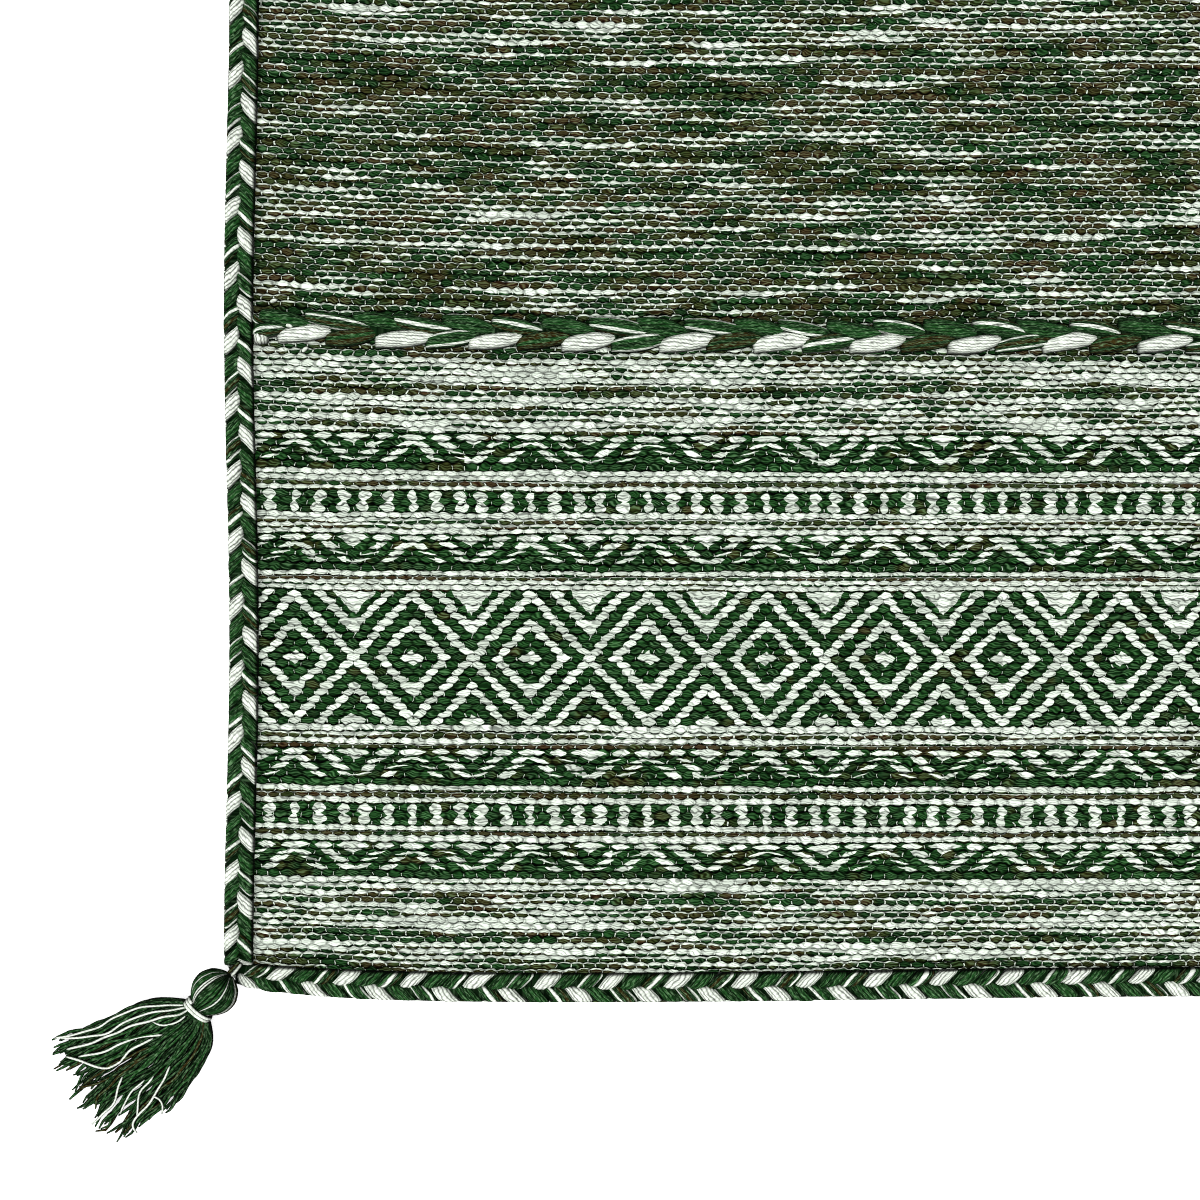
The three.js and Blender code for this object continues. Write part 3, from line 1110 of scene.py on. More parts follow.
        # The rim lies in strips under the underside, the sides' along V and the ends' along U
        side = np.abs(spots[:, 0]) > PLAN.width / 2 - 9
        strip = np.where(side, 0.1, 0.2) + 0.05 * (spots[:, 0] > 0)
        lift = 0.01 * spots[:, 2] / PLAN.thickness
        place[rim] = np.stack([0.62 + 0.3 * np.where(side, v, u), strip + lift], -1)[rim]
        layer = piece.data.uv_layers.new(name="OFBake")
        layer.data.foreach_set("uv", place.astype(np.float32).ravel())


# Plaits


class Blend(Enum):
    """What yarns a strand is gathered from."""

    GREEN = "green"
    PALE = "pale"
    MIXED = "mixed"
    EARTHY = "earthy"


YARNS = {
    Blend.GREEN: (Dye.GREEN, Dye.DEEP, Dye.GREEN, Dye.GREEN, Dye.DEEP, Dye.GREEN, Dye.GREEN),
    Blend.PALE: (Dye.PALE,),
    Blend.MIXED: (Dye.PALE, Dye.DEEP, Dye.BROWN, Dye.DEEP, Dye.PALE, Dye.GREEN, Dye.DEEP, Dye.GREEN),
    Blend.EARTHY: (Dye.BROWN, Dye.BROWN, Dye.DEEP, Dye.BROWN, Dye.BROWN, Dye.GREEN),
}


def gather(blend: Blend, yarns: int, turned: int) -> np.ndarray:
    """Picks the yarns that show on a lobe, since a strand turns from lobe to lobe.

    Args:
        blend: what the strand is gathered from.
        yarns: how many of its yarns show.
        turned: how many yarns it has turned.

    Returns:
        The dye of each yarn that shows.
    """
    order = YARNS[blend]
    return np.array([order[(i + turned) % len(order)].value for i in range(yarns)])


@dataclass
class Plait:
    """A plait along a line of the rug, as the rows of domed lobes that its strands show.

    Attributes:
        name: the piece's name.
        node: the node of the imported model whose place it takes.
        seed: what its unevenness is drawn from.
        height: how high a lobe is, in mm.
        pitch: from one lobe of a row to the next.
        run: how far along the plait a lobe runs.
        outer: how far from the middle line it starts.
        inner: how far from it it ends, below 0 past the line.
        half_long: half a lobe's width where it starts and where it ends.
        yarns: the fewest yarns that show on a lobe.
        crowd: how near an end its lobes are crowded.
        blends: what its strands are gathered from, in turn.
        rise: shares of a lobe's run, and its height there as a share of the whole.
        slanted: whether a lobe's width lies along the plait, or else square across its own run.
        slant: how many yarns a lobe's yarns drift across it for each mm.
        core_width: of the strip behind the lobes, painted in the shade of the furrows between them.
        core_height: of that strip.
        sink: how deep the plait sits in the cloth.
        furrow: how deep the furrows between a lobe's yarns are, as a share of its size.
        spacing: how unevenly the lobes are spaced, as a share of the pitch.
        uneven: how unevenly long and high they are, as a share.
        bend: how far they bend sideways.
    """

    name: str
    node: str
    seed: int
    height: float = 5.0
    pitch: float = 9.7
    run: float = 6.4
    outer: float = 6.35
    inner: float = -1.0
    half_long: tuple[float, float] = (5.35, 4.5)
    yarns: int = 7
    crowd: float = 5.0
    blends: tuple[Blend, ...] = (Blend.GREEN, Blend.PALE, Blend.MIXED)
    rise: tuple[tuple[float, float], ...] = (
        (0, 0.1), (0.02, 0.5), (0.06, 0.78), (0.14, 0.95), (0.32, 1), (0.55, 0.99), (0.75, 0.9),
        (0.9, 0.7), (1, 0.4),
    )
    slanted: bool = True
    slant: float = 0.0
    core_width: float = 12.5
    core_height: float = 2.6
    sink: float = 0.15
    furrow: float = 0.07
    spacing: float = 0.045
    uneven: float = 0.06
    bend: float = 0.5

    def line(self) -> tuple[np.ndarray, np.ndarray, np.ndarray]:
        """Draws the line that the plait follows.

        Returns:
            Its points' X and Y, its way at each, and how narrow the plait is drawn there.
        """
        raise NotImplementedError

    def blend(self, side: int, number: int) -> Blend:
        """Gives what a lobe is gathered from, a third of a turn on from strand to strand."""
        return self.blends[(number + 2 * (side > 0)) % len(self.blends)]

    def swell(self, share: np.ndarray) -> np.ndarray:
        """Gives half a lobe's width at each share of its run, rounded off at its outer end."""
        rounded = 0.58 + 0.42 * np.sqrt(np.clip(share / 0.22, 0, 1))
        return (self.half_long[0] + (self.half_long[1] - self.half_long[0]) * share) * rounded

    def settle(self, along: np.ndarray, total: float) -> tuple[np.ndarray, np.ndarray]:
        """Crowds what lies near or past the line's ends up to them.

        Args:
            along: places along the line.
            total: the line's length.

        Returns:
            The places, all on the line, and how crowded each is, from 1 down.
        """
        short = self.crowd
        before = np.exp(np.minimum(along - short, 0) / short)
        after = np.exp(np.minimum(total - short - along, 0) / short)
        place = np.where(along < short, short * before, along)
        place = np.where(along > total - short, total - short * after, place)
        return place, before * after

    def build(self, finish: bpy.types.Material) -> bpy.types.Object:
        """Builds the plait as one piece.

        Args:
            finish: its material.

        Returns:
            The piece, which has taken its node's place.
        """
        line, direction, narrow = self.line()
        length = run_along(line)
        total = length[-1]
        chance = np.random.RandomState(self.seed)
        share, rise = np.array(self.rise).T
        base = PLAN.thickness - self.sink
        tubes = Tubes()
        # A strip behind the lobes, painted in the near-black shade of the furrows between them
        half = (self.core_width / 2) * narrow
        tubes.add(np.column_stack([line, base + 0 * narrow]), half, 0 * half + self.core_height, 7,
                  np.full(4, Dye.DEEP.value), dome=True)
        tubes.paint_furrow_shade()
        for side in (-1, 1):
            first = 0.5 * self.pitch * (side > 0)
            for number in range(-1, int((total - first) / self.pitch + 0.4)):
                start = first + number * self.pitch + self.spacing * self.pitch * chance.randn()
                run = self.run * (1 + self.uneven * chance.randn())
                along, crowded = self.settle(start + run * share, total)
                across = side * (self.outer + (self.inner - self.outer) * share)
                spot = spots_on(line, length, along)
                way = unit(spots_on(direction, length, along))
                tight = np.interp(along, length, narrow)
                right = np.stack([way[:, 1], -way[:, 0]], -1)
                bend = self.bend * chance.randn() * np.sin(math.pi * share)
                flat = spot + right * (across * tight + bend)[:, None]
                squeeze = crowded if self.slanted else crowded ** 0.3
                half = self.swell(share) * (1 + 0.05 * chance.randn()) * squeeze
                high = self.height * rise * (1 + self.uneven * chance.randn()) * crowded ** 0.3
                ways = np.column_stack([side * way, 0 * along]) if self.slanted else None
                yarns = self.yarns + chance.randint(2)
                dyes = gather(self.blend(side, number), yarns, number // 3 + side)
                tubes.add(np.column_stack([flat, base + 0 * along]), half, high, 2 * yarns + 1,
                          dyes, ways=ways, dome=True, ridge=self.furrow,
                          start=37.7 * number + 11 * side, slant=side * self.slant)
        self.trim(tubes, line, base)
        piece = tubes.piece(self.name, finish)
        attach(piece, "root")
        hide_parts(self.node)
        return piece

    def trim(self, tubes: Tubes, line: np.ndarray, base: float) -> None:
        """Adds what finishes the plait's ends, where it has any.

        Args:
            tubes: the plait so far.
            line: the plait's middle line.
            base: how high it lies.
        """


@dataclass
class EdgePlait(Plait):
    """A three-strand plait sewn along an edge, which points clockwise round the rug.

    Attributes:
        end: -1 for the near end, 1 for the far one, 0 for a side.
        side: -1 for the left side, 1 for the right one, 0 for an end.
        width: of the whole plait, in mm.
        inset: how far in from the cloth's edge it starts.
        tight_end: how narrow it is drawn at the ends of an end's plait, as a share of the width.
        tight_reach: how far from them that fades.
        end_short: how far an end's plait stops short of the cloth's corners.
        side_clear: how far a side's plait stops short of the end's, below 0 under it.
    """

    end: int = 0
    side: int = 0
    width: float = 12.8
    inset: float = 0.6
    tight_end: float = 0.78
    tight_reach: float = 26.0
    end_short: float = 5.0
    side_clear: float = -1.2

    def line(self) -> tuple[np.ndarray, np.ndarray, np.ndarray]:
        """Draws the line that the plait follows.

        Returns:
            Its points' X and Y, its way at each, and how narrow the plait is drawn there.
        """
        if self.end:
            half = PLAN.width / 2 - self.end_short
            x = np.linspace(-self.end * half, self.end * half, LINE_SPOTS)
            narrow = 1 - (1 - self.tight_end) * np.exp(-(half - np.abs(x)) / self.tight_reach)
            y = PLAN.end_edge(self.end, x) - self.end * (self.inset + self.width / 2 * narrow)
        else:
            stops = [self.stop(end) for end in (self.side, -self.side)]
            y = np.linspace(stops[0], stops[1], LINE_SPOTS)
            narrow = np.ones_like(y)
            x = PLAN.side_edge(self.side, y) - self.side * (self.inset + self.width / 2)
        line = np.stack([x, y], -1)
        return line, unit(np.gradient(line, axis=0)), narrow

    def stop(self, end: int) -> float:
        """Gives Y where a side's plait stops short of an end's plait."""
        corner = PLAN.end_edge(end, self.side * (PLAN.width / 2 - PLAN.cut_across))
        return corner - end * (self.inset + self.width * self.tight_end + self.side_clear)


@dataclass
class CrossPlait(Plait):
    """A four-strand plait sewn across the rug where an end panel stops.

    Attributes:
        end: -1 for the near panel, 1 for the far one.
        panel: how far from the rug's end it lies, in mm.
        lift: how much nearer that end it starts.
        reach: how far along it that fades.
        clear: how far from the side edges it stops.
        tail: the tail turned under where it starts: places along and across, heights, half widths.
        stitches: the stitches over that end: places along and across, and turns in radians.
        stitch_half: half a stitch's length.
    """

    end: int = -1
    height: float = 5.6
    pitch: float = 21.0
    run: float = 25.5
    outer: float = 5.0
    inner: float = 0.9
    slant: float = 0.13
    half_long: tuple[float, float] = (4.05, 4.05)
    yarns: int = 8
    rise: tuple[tuple[float, float], ...] = (
        (0, 0.25), (0.03, 0.5), (0.08, 0.72), (0.16, 0.9), (0.28, 1), (0.42, 1), (0.56, 0.95),
        (0.68, 0.88), (0.8, 0.77), (0.9, 0.62), (0.96, 0.48), (1, 0.3),
    )
    slanted: bool = False
    core_width: float = 9.0
    panel: float = 291.7
    lift: float = 5.3
    reach: float = 88.0
    clear: float = 13.7
    tail: tuple[tuple[float, float, float, float], ...] = (
        (3.0, 1.2, 0.6, 2.6), (3.3, 3.2, 4.2, 3.3), (3.6, 5.2, 4.9, 3.5), (3.8, 7.2, 4.2, 3.3),
        (4.0, 8.4, 1.2, 2.6),
    )
    stitches: tuple[tuple[float, float, float], ...] = (
        (8.0, -11.0, 0.3), (16.0, 0.0, -0.3), (23.0, 9.5, 0.7),
    )
    stitch_half: float = 1.7

    def line(self) -> tuple[np.ndarray, np.ndarray, np.ndarray]:
        """Draws the line that the plait follows.

        Returns:
            Its points' X and Y, its way at each, and how narrow the plait is drawn there.
        """
        level = PLAN.length / 2 - self.panel
        start = PLAN.side_edge(self.end, self.end * level) - self.end * self.clear
        stop = PLAN.side_edge(-self.end, self.end * level) + self.end * self.clear
        x = np.linspace(start, stop, LINE_SPOTS)
        run = np.abs(x - start)
        line = np.stack([x, self.end * (level - self.lift * np.exp(-run / self.reach))], -1)
        return line, unit(np.gradient(line, axis=0)), np.ones_like(x)

    def blend(self, side: int, number: int) -> Blend:
        """Gives what a lobe is gathered from: two strands show on each side, turn about.

        Args:
            side: -1 for the left row of lobes, 1 for the right one.
            number: the lobe's number in its row.

        Returns:
            The blend.
        """
        pairs = {-1: (Blend.GREEN, Blend.MIXED), 1: (Blend.PALE, Blend.EARTHY)}
        if side > 0 and number % 4 == 3:
            return Blend.MIXED
        return pairs[side][number % 2]

    def swell(self, share: np.ndarray) -> np.ndarray:
        """Gives half a lobe's width at each share of its run, blunt first and then tapered."""
        return self.half_long[0] * np.sin(math.pi * (0.15 + 0.81 * share ** 1.15)) ** 0.5

    def trim(self, tubes: Tubes, line: np.ndarray, base: float) -> None:
        """Turns a pale tail under at the end that it starts from, and stitches it down.

        Args:
            tubes: the plait so far.
            line: the plait's middle line.
            base: how high it lies.
        """
        way = unit(line[1:2] - line[:1])[0]
        right = np.array([way[1], -way[0]])
        points = np.array([[*(line[0] + way * a + right * b), base] for a, b, _, _ in self.tail])
        high, half = np.array(self.tail)[:, 2:].T
        tubes.add(points, half, high, 13, np.full(6, Dye.PALE.value), dome=True, ridge=self.furrow)
        for a, b, turn in self.stitches:
            lean = np.array([math.cos(turn), math.sin(turn)])
            middle = line[0] + way * a + right * b
            steps = np.linspace(-self.stitch_half, self.stitch_half, 5)
            stitch = np.array([[*(middle + lean * t), base + 1.0 - 0.25 * t * t] for t in steps])
            if abs(b) < self.outer:  # over the lobes, and not beside them
                stitch[:, 2] += 3.0
            thick = np.array([0.4, 0.9, 1.0, 0.85, 0.4])
            tubes.add(stitch, thick, thick, 8, np.array([Dye.PALE.value]))


# Tassels


@dataclass(frozen=True)
class Corner:
    """Where a tassel hangs.

    Attributes:
        name: the corner's name.
        side: -1 for the left side, 1 for the right one.
        end: -1 for the near end, 1 for the far one.
        turn: how far it is turned off the diagonal, in degrees.
        fan: 1 or, where its skirt is mirrored, -1.
        seed: what its unevenness is drawn from.
    """

    name: str
    side: int
    end: int
    turn: float
    fan: int
    seed: int


CORNERS = (
    Corner("near_left", -1, -1, 3, 1, 0),
    Corner("near_right", 1, -1, -4, -1, 100),
    Corner("far_right", 1, 1, 5, 1, 200),
    Corner("far_left", -1, 1, -2, -1, 300),
)


@dataclass
class Tassel:
    """A tassel that lies at a corner: a bound head of yarns and a fanned skirt.

    Its own frame has its neck's middle at 0, along to the skirt, across, and up from the floor.

    Attributes:
        corner: where it hangs.
        head_radius: of the head, in mm.
        neck_radius: of the neck.
        squash: how much flatter than wide the head and neck lie, as a share.
        head_to_neck: from the head's middle to the neck's.
        to_rug: how much nearer than the gap the head hangs.
        end_short: how far short of the cloth's corner it hangs, as the end's plait does.
        off_end: how far past the cloth's end.
        profile: the head's outline: places along and radii.
        bury: how far in from that outline the middles of its yarns lie.
        head_yarns: how many yarns go round the head.
        skirt_layers: each layer's yarns, height in mm, place in the neck and length as a share.
        flanks: places along the skirt, and how far across its two sides are there.
        tips: places across the skirt, from -1 to 1, and how long its yarns are there.
        longest: what no yarn passes.
        locks: the places across to which the yarns' ends draw together.
        fall: how far from the neck the skirt has come down.
        lies: the least height of a yarn's middle.
        neck_height: how far above and below its middle the neck holds the skirt's layers.
        yarn_radius: of the skirt's yarns.
        dark_dyes: what all but the pale yarns are dyed.
        pale_head: the turns round the head at which pale yarns lie, in radians.
        strays: the yarns that lie over the skirt, each one's dye and points along and across.
    """

    corner: Corner
    head_radius: float = 10.35
    neck_radius: float = 5.6
    squash: float = 0.88
    head_to_neck: float = 9.8
    to_rug: float = 1.6
    end_short: float = 5.0
    off_end: float = 1.8
    profile: tuple[tuple[float, float], ...] = (
        (-20.6, 1.2), (-19.6, 4.2), (-16.8, 8.0), (-12.6, 10.35), (-8.2, 10.14), (-4.2, 8.1),
        (-1.6, 5.6), (1.6, 5.2),
    )
    bury: float = 0.75
    head_yarns: int = 44
    skirt_layers: tuple[tuple[int, float, float, float], ...] = (
        (30, 0.95, -0.85, 1.0), (29, 2.3, -0.28, 0.985), (29, 3.5, 0.36, 0.96), (28, 4.7, 0.93, 0.93),
    )
    flanks: tuple[tuple[float, float, float], ...] = (
        (0, -4.9, 4.9), (3, -8.2, 9.0), (6, -12, 12.4), (13, -18.5, 16.4), (20, -22, 17.8),
        (27, -25, 18.6), (40, -30, 18.8), (51, -35.5, 18.8), (60, -38, 19.4), (75, -41, 20),
    )
    tips: tuple[tuple[float, float], ...] = (
        (-1, 55), (-0.8, 60), (-0.55, 61), (-0.4, 56), (-0.2, 66), (0.0, 70), (0.2, 66), (0.4, 72),
        (0.6, 66), (0.8, 68), (0.9, 50), (1, 44),
    )
    longest: float = 73.5
    locks: tuple[float, ...] = (-0.9, -0.62, -0.3, 0.05, 0.38, 0.74)
    fall: float = 15.0
    lies: float = 0.9
    neck_height: float = 4.2
    yarn_radius: float = 0.76
    dark_dyes: tuple[int, ...] = (Dye.GREEN.value, Dye.DEEP.value, Dye.BROWN.value)
    pale_head: tuple[float, ...] = (0.42, 0.6, 1.45, 2.3, 2.48, 2.85)
    strays: tuple[tuple[Dye, tuple[tuple[float, float], ...]], ...] = (
        (Dye.PALE, ((24, -6.2), (27.6, -8.1), (35.1, -10.4), (42.2, -10.3), (47.5, -11.9),
                    (50.5, -17.4), (52.9, -24.3), (55.8, -29.3))),
        (Dye.PALE, ((2.2, -6.2), (5, -8.2), (10.4, -13.4), (16.5, -18.8), (23.5, -23.1), (29.1, -25.2),
                    (36.1, -27.3), (42.2, -30.6), (53, -38.3))),
        (Dye.PALE, ((2.2, -4.6), (6.1, -6.8), (14.9, -13.6), (22.4, -18.6), (29.3, -21), (37, -23.1),
                    (44, -29.5), (51.4, -36.4))),
        (Dye.PALE, ((2.2, -3), (7.9, -4.9), (14.5, -9.6), (21.1, -13.9), (28.1, -18.1), (33.6, -20.2),
                    (42.5, -24.6), (48.7, -28), (53.1, -31.3))),
        (Dye.PALE, ((6, -2.2), (11, -3.3), (14.5, -4.6), (17, -6.4), (18.3, -9), (18.6, -11.3))),
        (Dye.PALE, ((20, -4.6), (24.6, -8.6), (29.9, -13), (35, -15.4), (40, -16.8),
                    (45.9, -20.6), (52, -25.1))),
        (Dye.GREEN, ((13.5, -4.5), (21.9, -6.8), (28.8, -12.4), (36, -18), (47, -26))),
        (Dye.PALE, ((28, 7.5), (37.6, 10), (41.2, 11), (43.1, 10.9), (49.6, 11.8), (56, 11.2),
                    (58.3, 11.2), (60, 13.8), (60.1, 16.2))),
        (Dye.PALE, ((43, 10.6), (41.6, 13.6), (43, 17.1), (46.1, 18.7))),
        (Dye.PALE, ((36, 5), (39.2, 5.2), (43, 4.5), (46.8, 5.8), (50.8, 8.5), (54.6, 11.3))),
        (Dye.PALE, ((40, 3), (43.4, 2.6), (46, 2.2), (51.3, 2.9), (55.3, 3.5), (58.6, 5.3))),
        (Dye.PALE, ((45.5, -5.3), (49.8, -3.5), (54.6, -0.8), (58.3, 0.1), (64.2, -0.4), (70.9, -1.3))),
        (Dye.BROWN, ((30, -3.2), (40, -6.8), (47.6, -8.2), (54.2, -10.4), (62, -16.1))),
        (Dye.BROWN, ((32.6, -3.6), (42, -6), (53.4, -6.6), (60.5, -7.4), (64.5, -4.7))),
        (Dye.BROWN, ((28, -5.2), (36, -8.4), (44, -12), (53, -14), (60, -15.5))),
        (Dye.DEEP, ((36, -5), (47.1, -8.6), (58.1, -8.7), (65.2, -8.6), (69.9, -10.8))),
    )

    @property
    def centre(self) -> float:
        """Gives the height of the head's and the neck's middle."""
        return self.head_radius * self.squash

    def frame(self) -> tuple[np.ndarray, np.ndarray, np.ndarray]:
        """Works out how the tassel lies.

        Returns:
            The neck's place on the floor, the way the tassel points and the way across it.
        """
        side, end = self.corner.side, self.corner.end
        stop = PLAN.width / 2 - self.end_short
        head_x = side * (stop + self.head_radius + PLAN.gap - self.to_rug)
        head_y = PLAN.end_edge(end, side * stop) + end * self.off_end
        turn = math.atan2(end, side) + math.radians(self.corner.turn)
        way = np.array([math.cos(turn), math.sin(turn), 0.0])
        neck = np.array([head_x, head_y, 0.0]) + way * self.head_to_neck
        return neck, way, np.array([-way[1], way[0], 0.0])

    def place(self, local: np.ndarray) -> np.ndarray:
        """Puts points of the tassel's own frame, along, across and up, on the rug's plan."""
        neck, way, across = self.frame()
        return neck + local[:, :1] * way + local[:, 1:2] * across + local[:, 2:] * UP

    def head(self, tubes: Tubes, chance: np.random.RandomState) -> None:
        """Lays the yarns of the head side by side from its crown to its neck.

        Args:
            tubes: the tassel so far.
            chance: where its unevenness is drawn from.
        """
        along, radii = np.array(self.profile).T
        # Its points lie closer together at the crown, where the head curves most
        a = np.concatenate([np.linspace(along[0], -16.5, 7), np.linspace(-15.5, along[-1], 15)])
        radius = np.interp(a, along, radii) - self.bury
        radius[1:-1] = (radius[:-2] + 2 * radius[1:-1] + radius[2:]) / 4
        _, _, sideways = self.frame()
        for number in range(self.head_yarns):
            turn = TURN * number / self.head_yarns
            angle = turn + 0.25 * np.sin(a / 9) + 0.03 * chance.randn()
            path = np.stack([a, radius * np.cos(angle),
                             self.centre + radius * np.sin(angle) * self.squash], -1)
            thick = np.clip(radius * TURN / self.head_yarns * 0.66, 0.3, 0.98)
            dye = chance.choice(self.dark_dyes, p=[0.5, 0.4, 0.1])
            if any(abs(turn - pale) < math.pi / self.head_yarns for pale in self.pale_head):
                dye = Dye.PALE.value
                thick = thick * 0.62
            ways = -np.sin(angle)[:, None] * sideways + np.cos(angle)[:, None] * UP
            tubes.add(self.place(path), thick, thick, 8, np.array([dye]), ways=ways, floor=0.05)

    def core(self, tubes: Tubes) -> None:
        """Fills the head and the neck behind their yarns.

        Args:
            tubes: the tassel so far.
        """
        along, radii = np.array(self.profile).T
        a = np.linspace(-20.0, 4.0, 22)
        radius = np.clip(np.interp(a, along, radii) - 1.1, 0.5, None)
        path = np.stack([a, 0 * a, self.centre + 0 * a], -1)
        tubes.add(self.place(path), radius, radius * self.squash, 20, np.array([Dye.DEEP.value]),
                  floor=0.05)

    def skirt(self, tubes: Tubes, chance: np.random.RandomState) -> None:
        """Lets the cut yarns fan out from the neck, layer on layer, in loose locks.

        Args:
            tubes: the tassel so far.
            chance: where its unevenness is drawn from.
        """
        reach, left, right = np.array(self.flanks).T
        places, ends = np.array(self.tips).T
        locks = np.array(self.locks)
        for yarns, floor, root, long in self.skirt_layers:
            for number in range(yarns):
                place = np.clip(2 * number / (yarns - 1) - 1 + 0.02 * chance.randn(), -1, 1)
                pull = 0.3 * (locks[np.argmin(np.abs(locks - place))] - place)
                # One yarn in eight or so was cut short
                tip = np.interp(place, places, ends) * long + 2.6 * chance.randn()
                tip = min(tip - (14.0 * chance.rand() if chance.rand() < 0.12 else 0.0), self.longest)
                a = np.linspace(0.0, 1.0, 26) ** 1.15 * (tip + 0.8) - 0.8
                late = (a / 70) ** 2
                low, high = np.interp(a, reach, left), np.interp(a, reach, right)
                b = (low + high) / 2 + (place + pull * late) * (high - low) / 2
                # It waves in long bends, more so one in five, and trembles where it was plied
                wave = (0.35 + 1.1 * late) * (1.0 + 2.0 * (chance.rand() < 0.2))
                b += wave * np.sin(a / chance.uniform(4.5, 9.0) + TURN * chance.rand()) * (a > 6)
                b[2:-2] = (b[:-4] + b[1:-3] + b[2:-2] + b[3:-1] + b[4:]) / 5
                b += 0.42 * np.clip(a / 30, 0, 1) * np.sin(a / 2.1 + TURN * chance.rand())
                z = self.height(a, place, floor, root)
                z += 0.45 * np.sin(a / 8 + TURN * chance.rand()) * (floor > 1) * (a > 4)
                thick = self.yarn_radius * (1 + 0.1 * chance.randn()) * np.ones_like(a)
                thick[:2] *= 0.8
                thick[-3:] *= [0.95, 0.8, 0.5]
                odds = [0.47, 0.43, 0.1] if place < -0.3 else [0.5, 0.45, 0.05]
                dye = chance.choice(self.dark_dyes, p=odds)
                path = np.stack([a, b * self.corner.fan, np.maximum(z, self.lies)], -1)
                tubes.add(self.place(path), thick, thick, 6, np.array([dye]), floor=0.05,
                          start=31 * chance.rand())

    def height(self, a: np.ndarray, share: np.ndarray, floor: float, root: float) -> np.ndarray:
        """Gives the height of a layer of the skirt, from the round neck down to where it lies.

        Args:
            a: how far along the skirt, in mm.
            share: how far across it, from -1 to 1.
            floor: the height at which the layer lies, in mm.
            root: how high in the neck it starts, from -1 to 1.

        Returns:
            The heights, in mm.
        """
        rest = floor - np.clip((a / 70) ** 2 - 0.35, 0, None) * (floor - self.lies) * 0.9
        neck = self.centre + root * self.neck_height * np.sqrt(1 - 0.85 * share ** 2)
        return rest + (neck - rest) * np.clip(1 - (a - 1) / self.fall, 0, 1) ** 2

    def stray(self, tubes: Tubes, chance: np.random.RandomState) -> None:
        """Lays the yarns that bend and loop over the others on top of the skirt.

        Args:
            tubes: the tassel so far.
            chance: where its unevenness is drawn from.
        """
        _, floor, root, _ = self.skirt_layers[-1]
        reach, left, right = np.array(self.flanks).T
        for dye, stops in self.strays:
            stops = np.array(stops, float)
            length = run_along(stops)
            path = spots_on(stops, length, np.linspace(0, length[-1], max(10, int(length[-1] / 1.6))))
            for _ in range(2):
                path[1:-1] = (path[:-2] + 2 * path[1:-1] + path[2:]) / 4
            a, b = path.T
            b = b + 0.22 * np.sin(a / 1.9 + TURN * chance.rand())
            low, high = np.interp(a, reach, left), np.interp(a, reach, right)
            z = self.height(a, np.clip((2 * b - low - high) / (high - low), -1, 1), floor, root) + 0.95
            thick = np.full(len(a), chance.uniform(0.5, 0.66))
            thick[-2:] *= [0.85, 0.6]
            thick[0] *= 0.6
            line = np.stack([a, b * self.corner.fan, z], -1)
            tubes.add(self.place(line), thick, thick, 8, np.array([dye.value]), floor=0.05,
                      start=31 * chance.rand())

    def loop(self, tubes: Tubes) -> None:
        """Joins the head's crown to the rug's corner with a short loop of two yarns.

        Args:
            tubes: the tassel so far.
        """
        start, middle, stop = -26.5, -22.5, -18.5
        a = np.linspace(start, stop, 9)
        z = np.interp(a, [start, middle, stop], [6.2, self.centre - 0.4, self.centre])
        thick = np.full(len(a), 0.8)
        for shift, dye in ((-0.9, Dye.BROWN), (0.9, Dye.PALE)):
            lean = shift * (1 - ((a - middle) / 4) ** 2 * 0.4)
            tubes.add(self.place(np.stack([a, lean, z], -1)), thick, thick, 8, np.array([dye.value]))

    def build(self, finish: bpy.types.Material) -> bpy.types.Object:
        """Builds the tassel as one piece.

        Args:
            finish: its material.

        Returns:
            The piece, which has taken its node's place.
        """
        chance = np.random.RandomState(11 + self.corner.seed)
        tubes = Tubes()
        self.core(tubes)
        self.head(tubes, chance)
        self.skirt(tubes, chance)
        self.stray(tubes, chance)
        self.loop(tubes)
        piece = tubes.piece(f"yarn_tassel_{self.corner.name}", finish)
        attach(piece, "root")
        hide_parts(f"tassel_{self.corner.name}")
        return piece

    def tie(self, finish: bpy.types.Material) -> bpy.types.Object:
        """Winds the pale tie round the neck, two turns and a bit.

        Args:
            finish: its material.

        Returns:
            The piece, which has taken its node's place.
        """
        turns = np.linspace(0, 2.3, 64)
        radius = self.neck_radius + self.bury
        angle = TURN * turns + 2.2
        path = np.stack([(turns - 1.15) * 1.35, radius * np.cos(angle),
                         self.centre + radius * np.sin(angle) * self.squash], -1)
        tubes = Tubes()
        ways = np.tile(-self.frame()[1], (len(turns), 1))
        thick = np.full(len(turns), 0.8)
        tubes.add(self.place(path), thick, thick, 8, np.array([Dye.PALE.value]), ways=ways)
        piece = tubes.piece(f"wound_tie_{self.corner.name}", finish)
        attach(piece, "root")
        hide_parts(f"tie_{self.corner.name}")
        return piece


# Studio


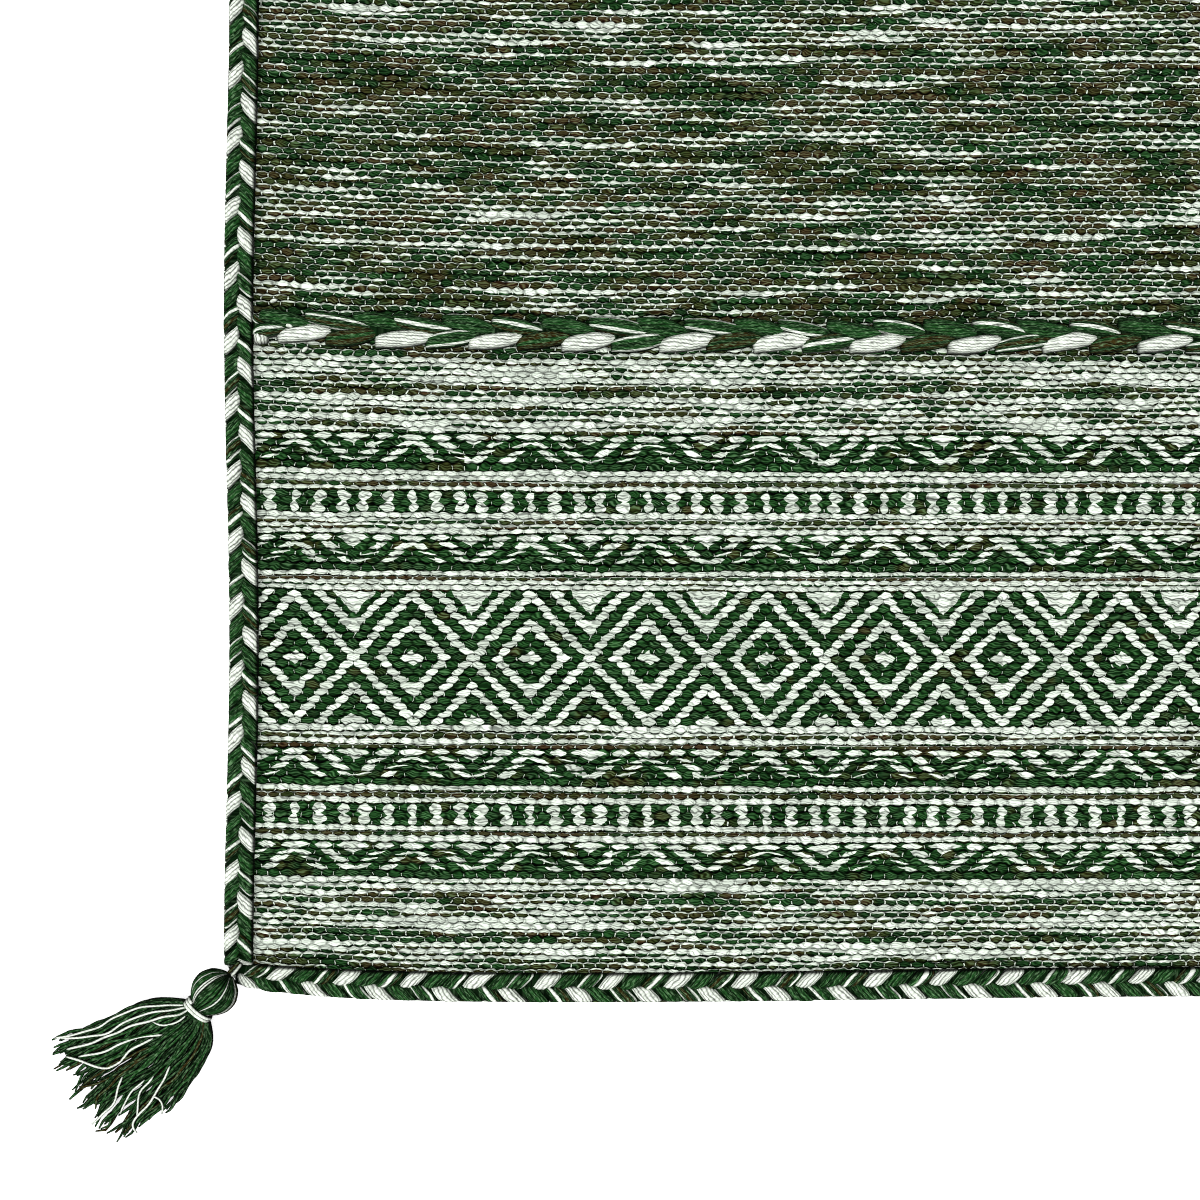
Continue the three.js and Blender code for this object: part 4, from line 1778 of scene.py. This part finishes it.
@dataclass
class Studio:
    """A pale floor, soft light and the camera, straight above one corner of the rug.

    Attributes:
        lens: the camera's focal length, in mm.
        sensor: how wide its sensor is, in mm.
        frame_width: how wide a stretch of the rug it takes in, in mm.
        centre: the point of the rug under it, in mm.
        floor_size: how wide the floor is, in metres.
        floor_drop: how far under the rug it lies, in metres.
        glow: how strongly it glows.
        sky: how bright the light from all round is.
        sun: how bright the light from one side is.
        sun_turn: how far that light is turned about X and Y, in degrees.
        sun_size: how wide it is, in degrees.
    """

    lens: float = 50.0
    sensor: float = 36.0
    frame_width: float = 528.0
    centre: tuple[float, float] = (-285.4, -574.0)
    floor_size: float = 12.0
    floor_drop: float = 0.0004
    glow: float = 0.6
    sky: float = 1.05
    sun: float = 1.15
    sun_turn: tuple[float, float] = (20.0, -34.0)
    sun_size: float = 24.0

    def camera(self) -> None:
        """Hangs the camera over the part of the rug that shows, its up along the rug."""
        height = self.frame_width / self.sensor * self.lens
        spot = to_metres(np.array([[*self.centre, height + PLAN.thickness]]))[0]
        bpy.ops.object.camera_add(location=spot, rotation=(0, 0, 0))
        camera = bpy.context.object
        camera.data.lens = self.lens
        camera.data.sensor_width = self.sensor
        camera.data.clip_start = 0.01
        bpy.context.scene.camera = camera

    def floor(self) -> None:
        """Lays the floor just under the rug."""
        bpy.ops.mesh.primitive_plane_add(size=self.floor_size, location=(0, 0, -self.floor_drop))
        floor = bpy.context.object
        floor.name = "studio_floor"
        # A cast sheet lit from behind: it glows evenly white, so the eye sees no shadow on it
        graph = Graph("opal acrylic light table")
        white = linear("#ffffff")
        surface = graph.add("ShaderNodeBsdfPrincipled", white, Roughness=0.9,
                            Emission_Color=white, Emission_Strength=self.glow)
        graph.add("ShaderNodeOutputMaterial", surface)
        floor.data.materials.append(graph.material)

    def crisp(self) -> None:
        """Keeps single yarns crisp: each pixel takes in little more than its own width."""
        cycles = bpy.context.scene.cycles
        cycles.use_denoising = False
        cycles.filter_width = 1.05
        cycles.max_bounces = 3
        cycles.diffuse_bounces = 2
        cycles.adaptive_threshold = 0.02

    def light(self) -> None:
        """Lights the rug evenly, a little more from the near left."""
        world = bpy.data.worlds.new("studio")
        bpy.context.scene.world = world
        world.use_nodes = True
        world.node_tree.nodes["Background"].inputs["Color"].default_value = linear("#ffffff")
        world.node_tree.nodes["Background"].inputs["Strength"].default_value = self.sky
        turn = [math.radians(angle) for angle in self.sun_turn]
        bpy.ops.object.light_add(type="SUN", rotation=(*turn, 0))
        sun = bpy.context.object
        sun.data.energy = self.sun
        sun.data.angle = math.radians(self.sun_size)
        bpy.context.scene.view_settings.view_transform = "Standard"


def sew(piece: bpy.types.Object) -> bpy.types.Object:
    """Reports a sewn piece and how many faces it has.

    Args:
        piece: the piece.

    Returns:
        The same piece.
    """
    log.info("%s: %d faces", piece.name, len(piece.data.polygons))
    return piece


def main() -> None:
    """Builds the rug's pieces in the order in which they are made up."""
    logging.basicConfig(level=logging.INFO, format="%(name)s: %(message)s")
    bpy.ops.object.select_all(action="DESELECT")
    studio = Studio()
    studio.camera()
    studio.floor()
    studio.light()
    studio.crisp()

    cloth = Cloth().build()
    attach(cloth, "root")
    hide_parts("cloth")
    sew(cloth)

    edge_yarn = PliedYarn("plaited cotton yarn").material()
    edges = [("near", -1, 0), ("far", 1, 0), ("left", 0, -1), ("right", 0, 1)]
    sewn = []
    for seed, (name, end, side) in enumerate(edges, start=5):
        plait = EdgePlait(f"sewn_plait_{name}", f"plait_{name}", seed, end=end, side=side)
        sewn.append(sew(plait.build(edge_yarn)))
    cross_yarn = PliedYarn("braided cotton yarn").material()
    for name, end in (("near", -1), ("far", 1)):
        braid = CrossPlait(f"sewn_braid_{name}", f"cross_plait_{name}", 31 + end, end=end)
        sewn.append(sew(braid.build(cross_yarn)))

    # A tassel's yarns hang straight and are round, so they don't sway and their sides are painted in
    # shade
    tassel_yarn = PliedYarn("tassel cotton yarn", sway=0.0, painted_highlight=0.4, shut=0.46, open=1.0).material()
    tie_yarn = PliedYarn("tie cotton yarn", sway=0.0).material()
    for corner in CORNERS:
        tassel = Tassel(corner)
        sewn += [sew(tassel.build(tassel_yarn)), sew(tassel.tie(tie_yarn))]


if __name__ == "__main__":
    main()
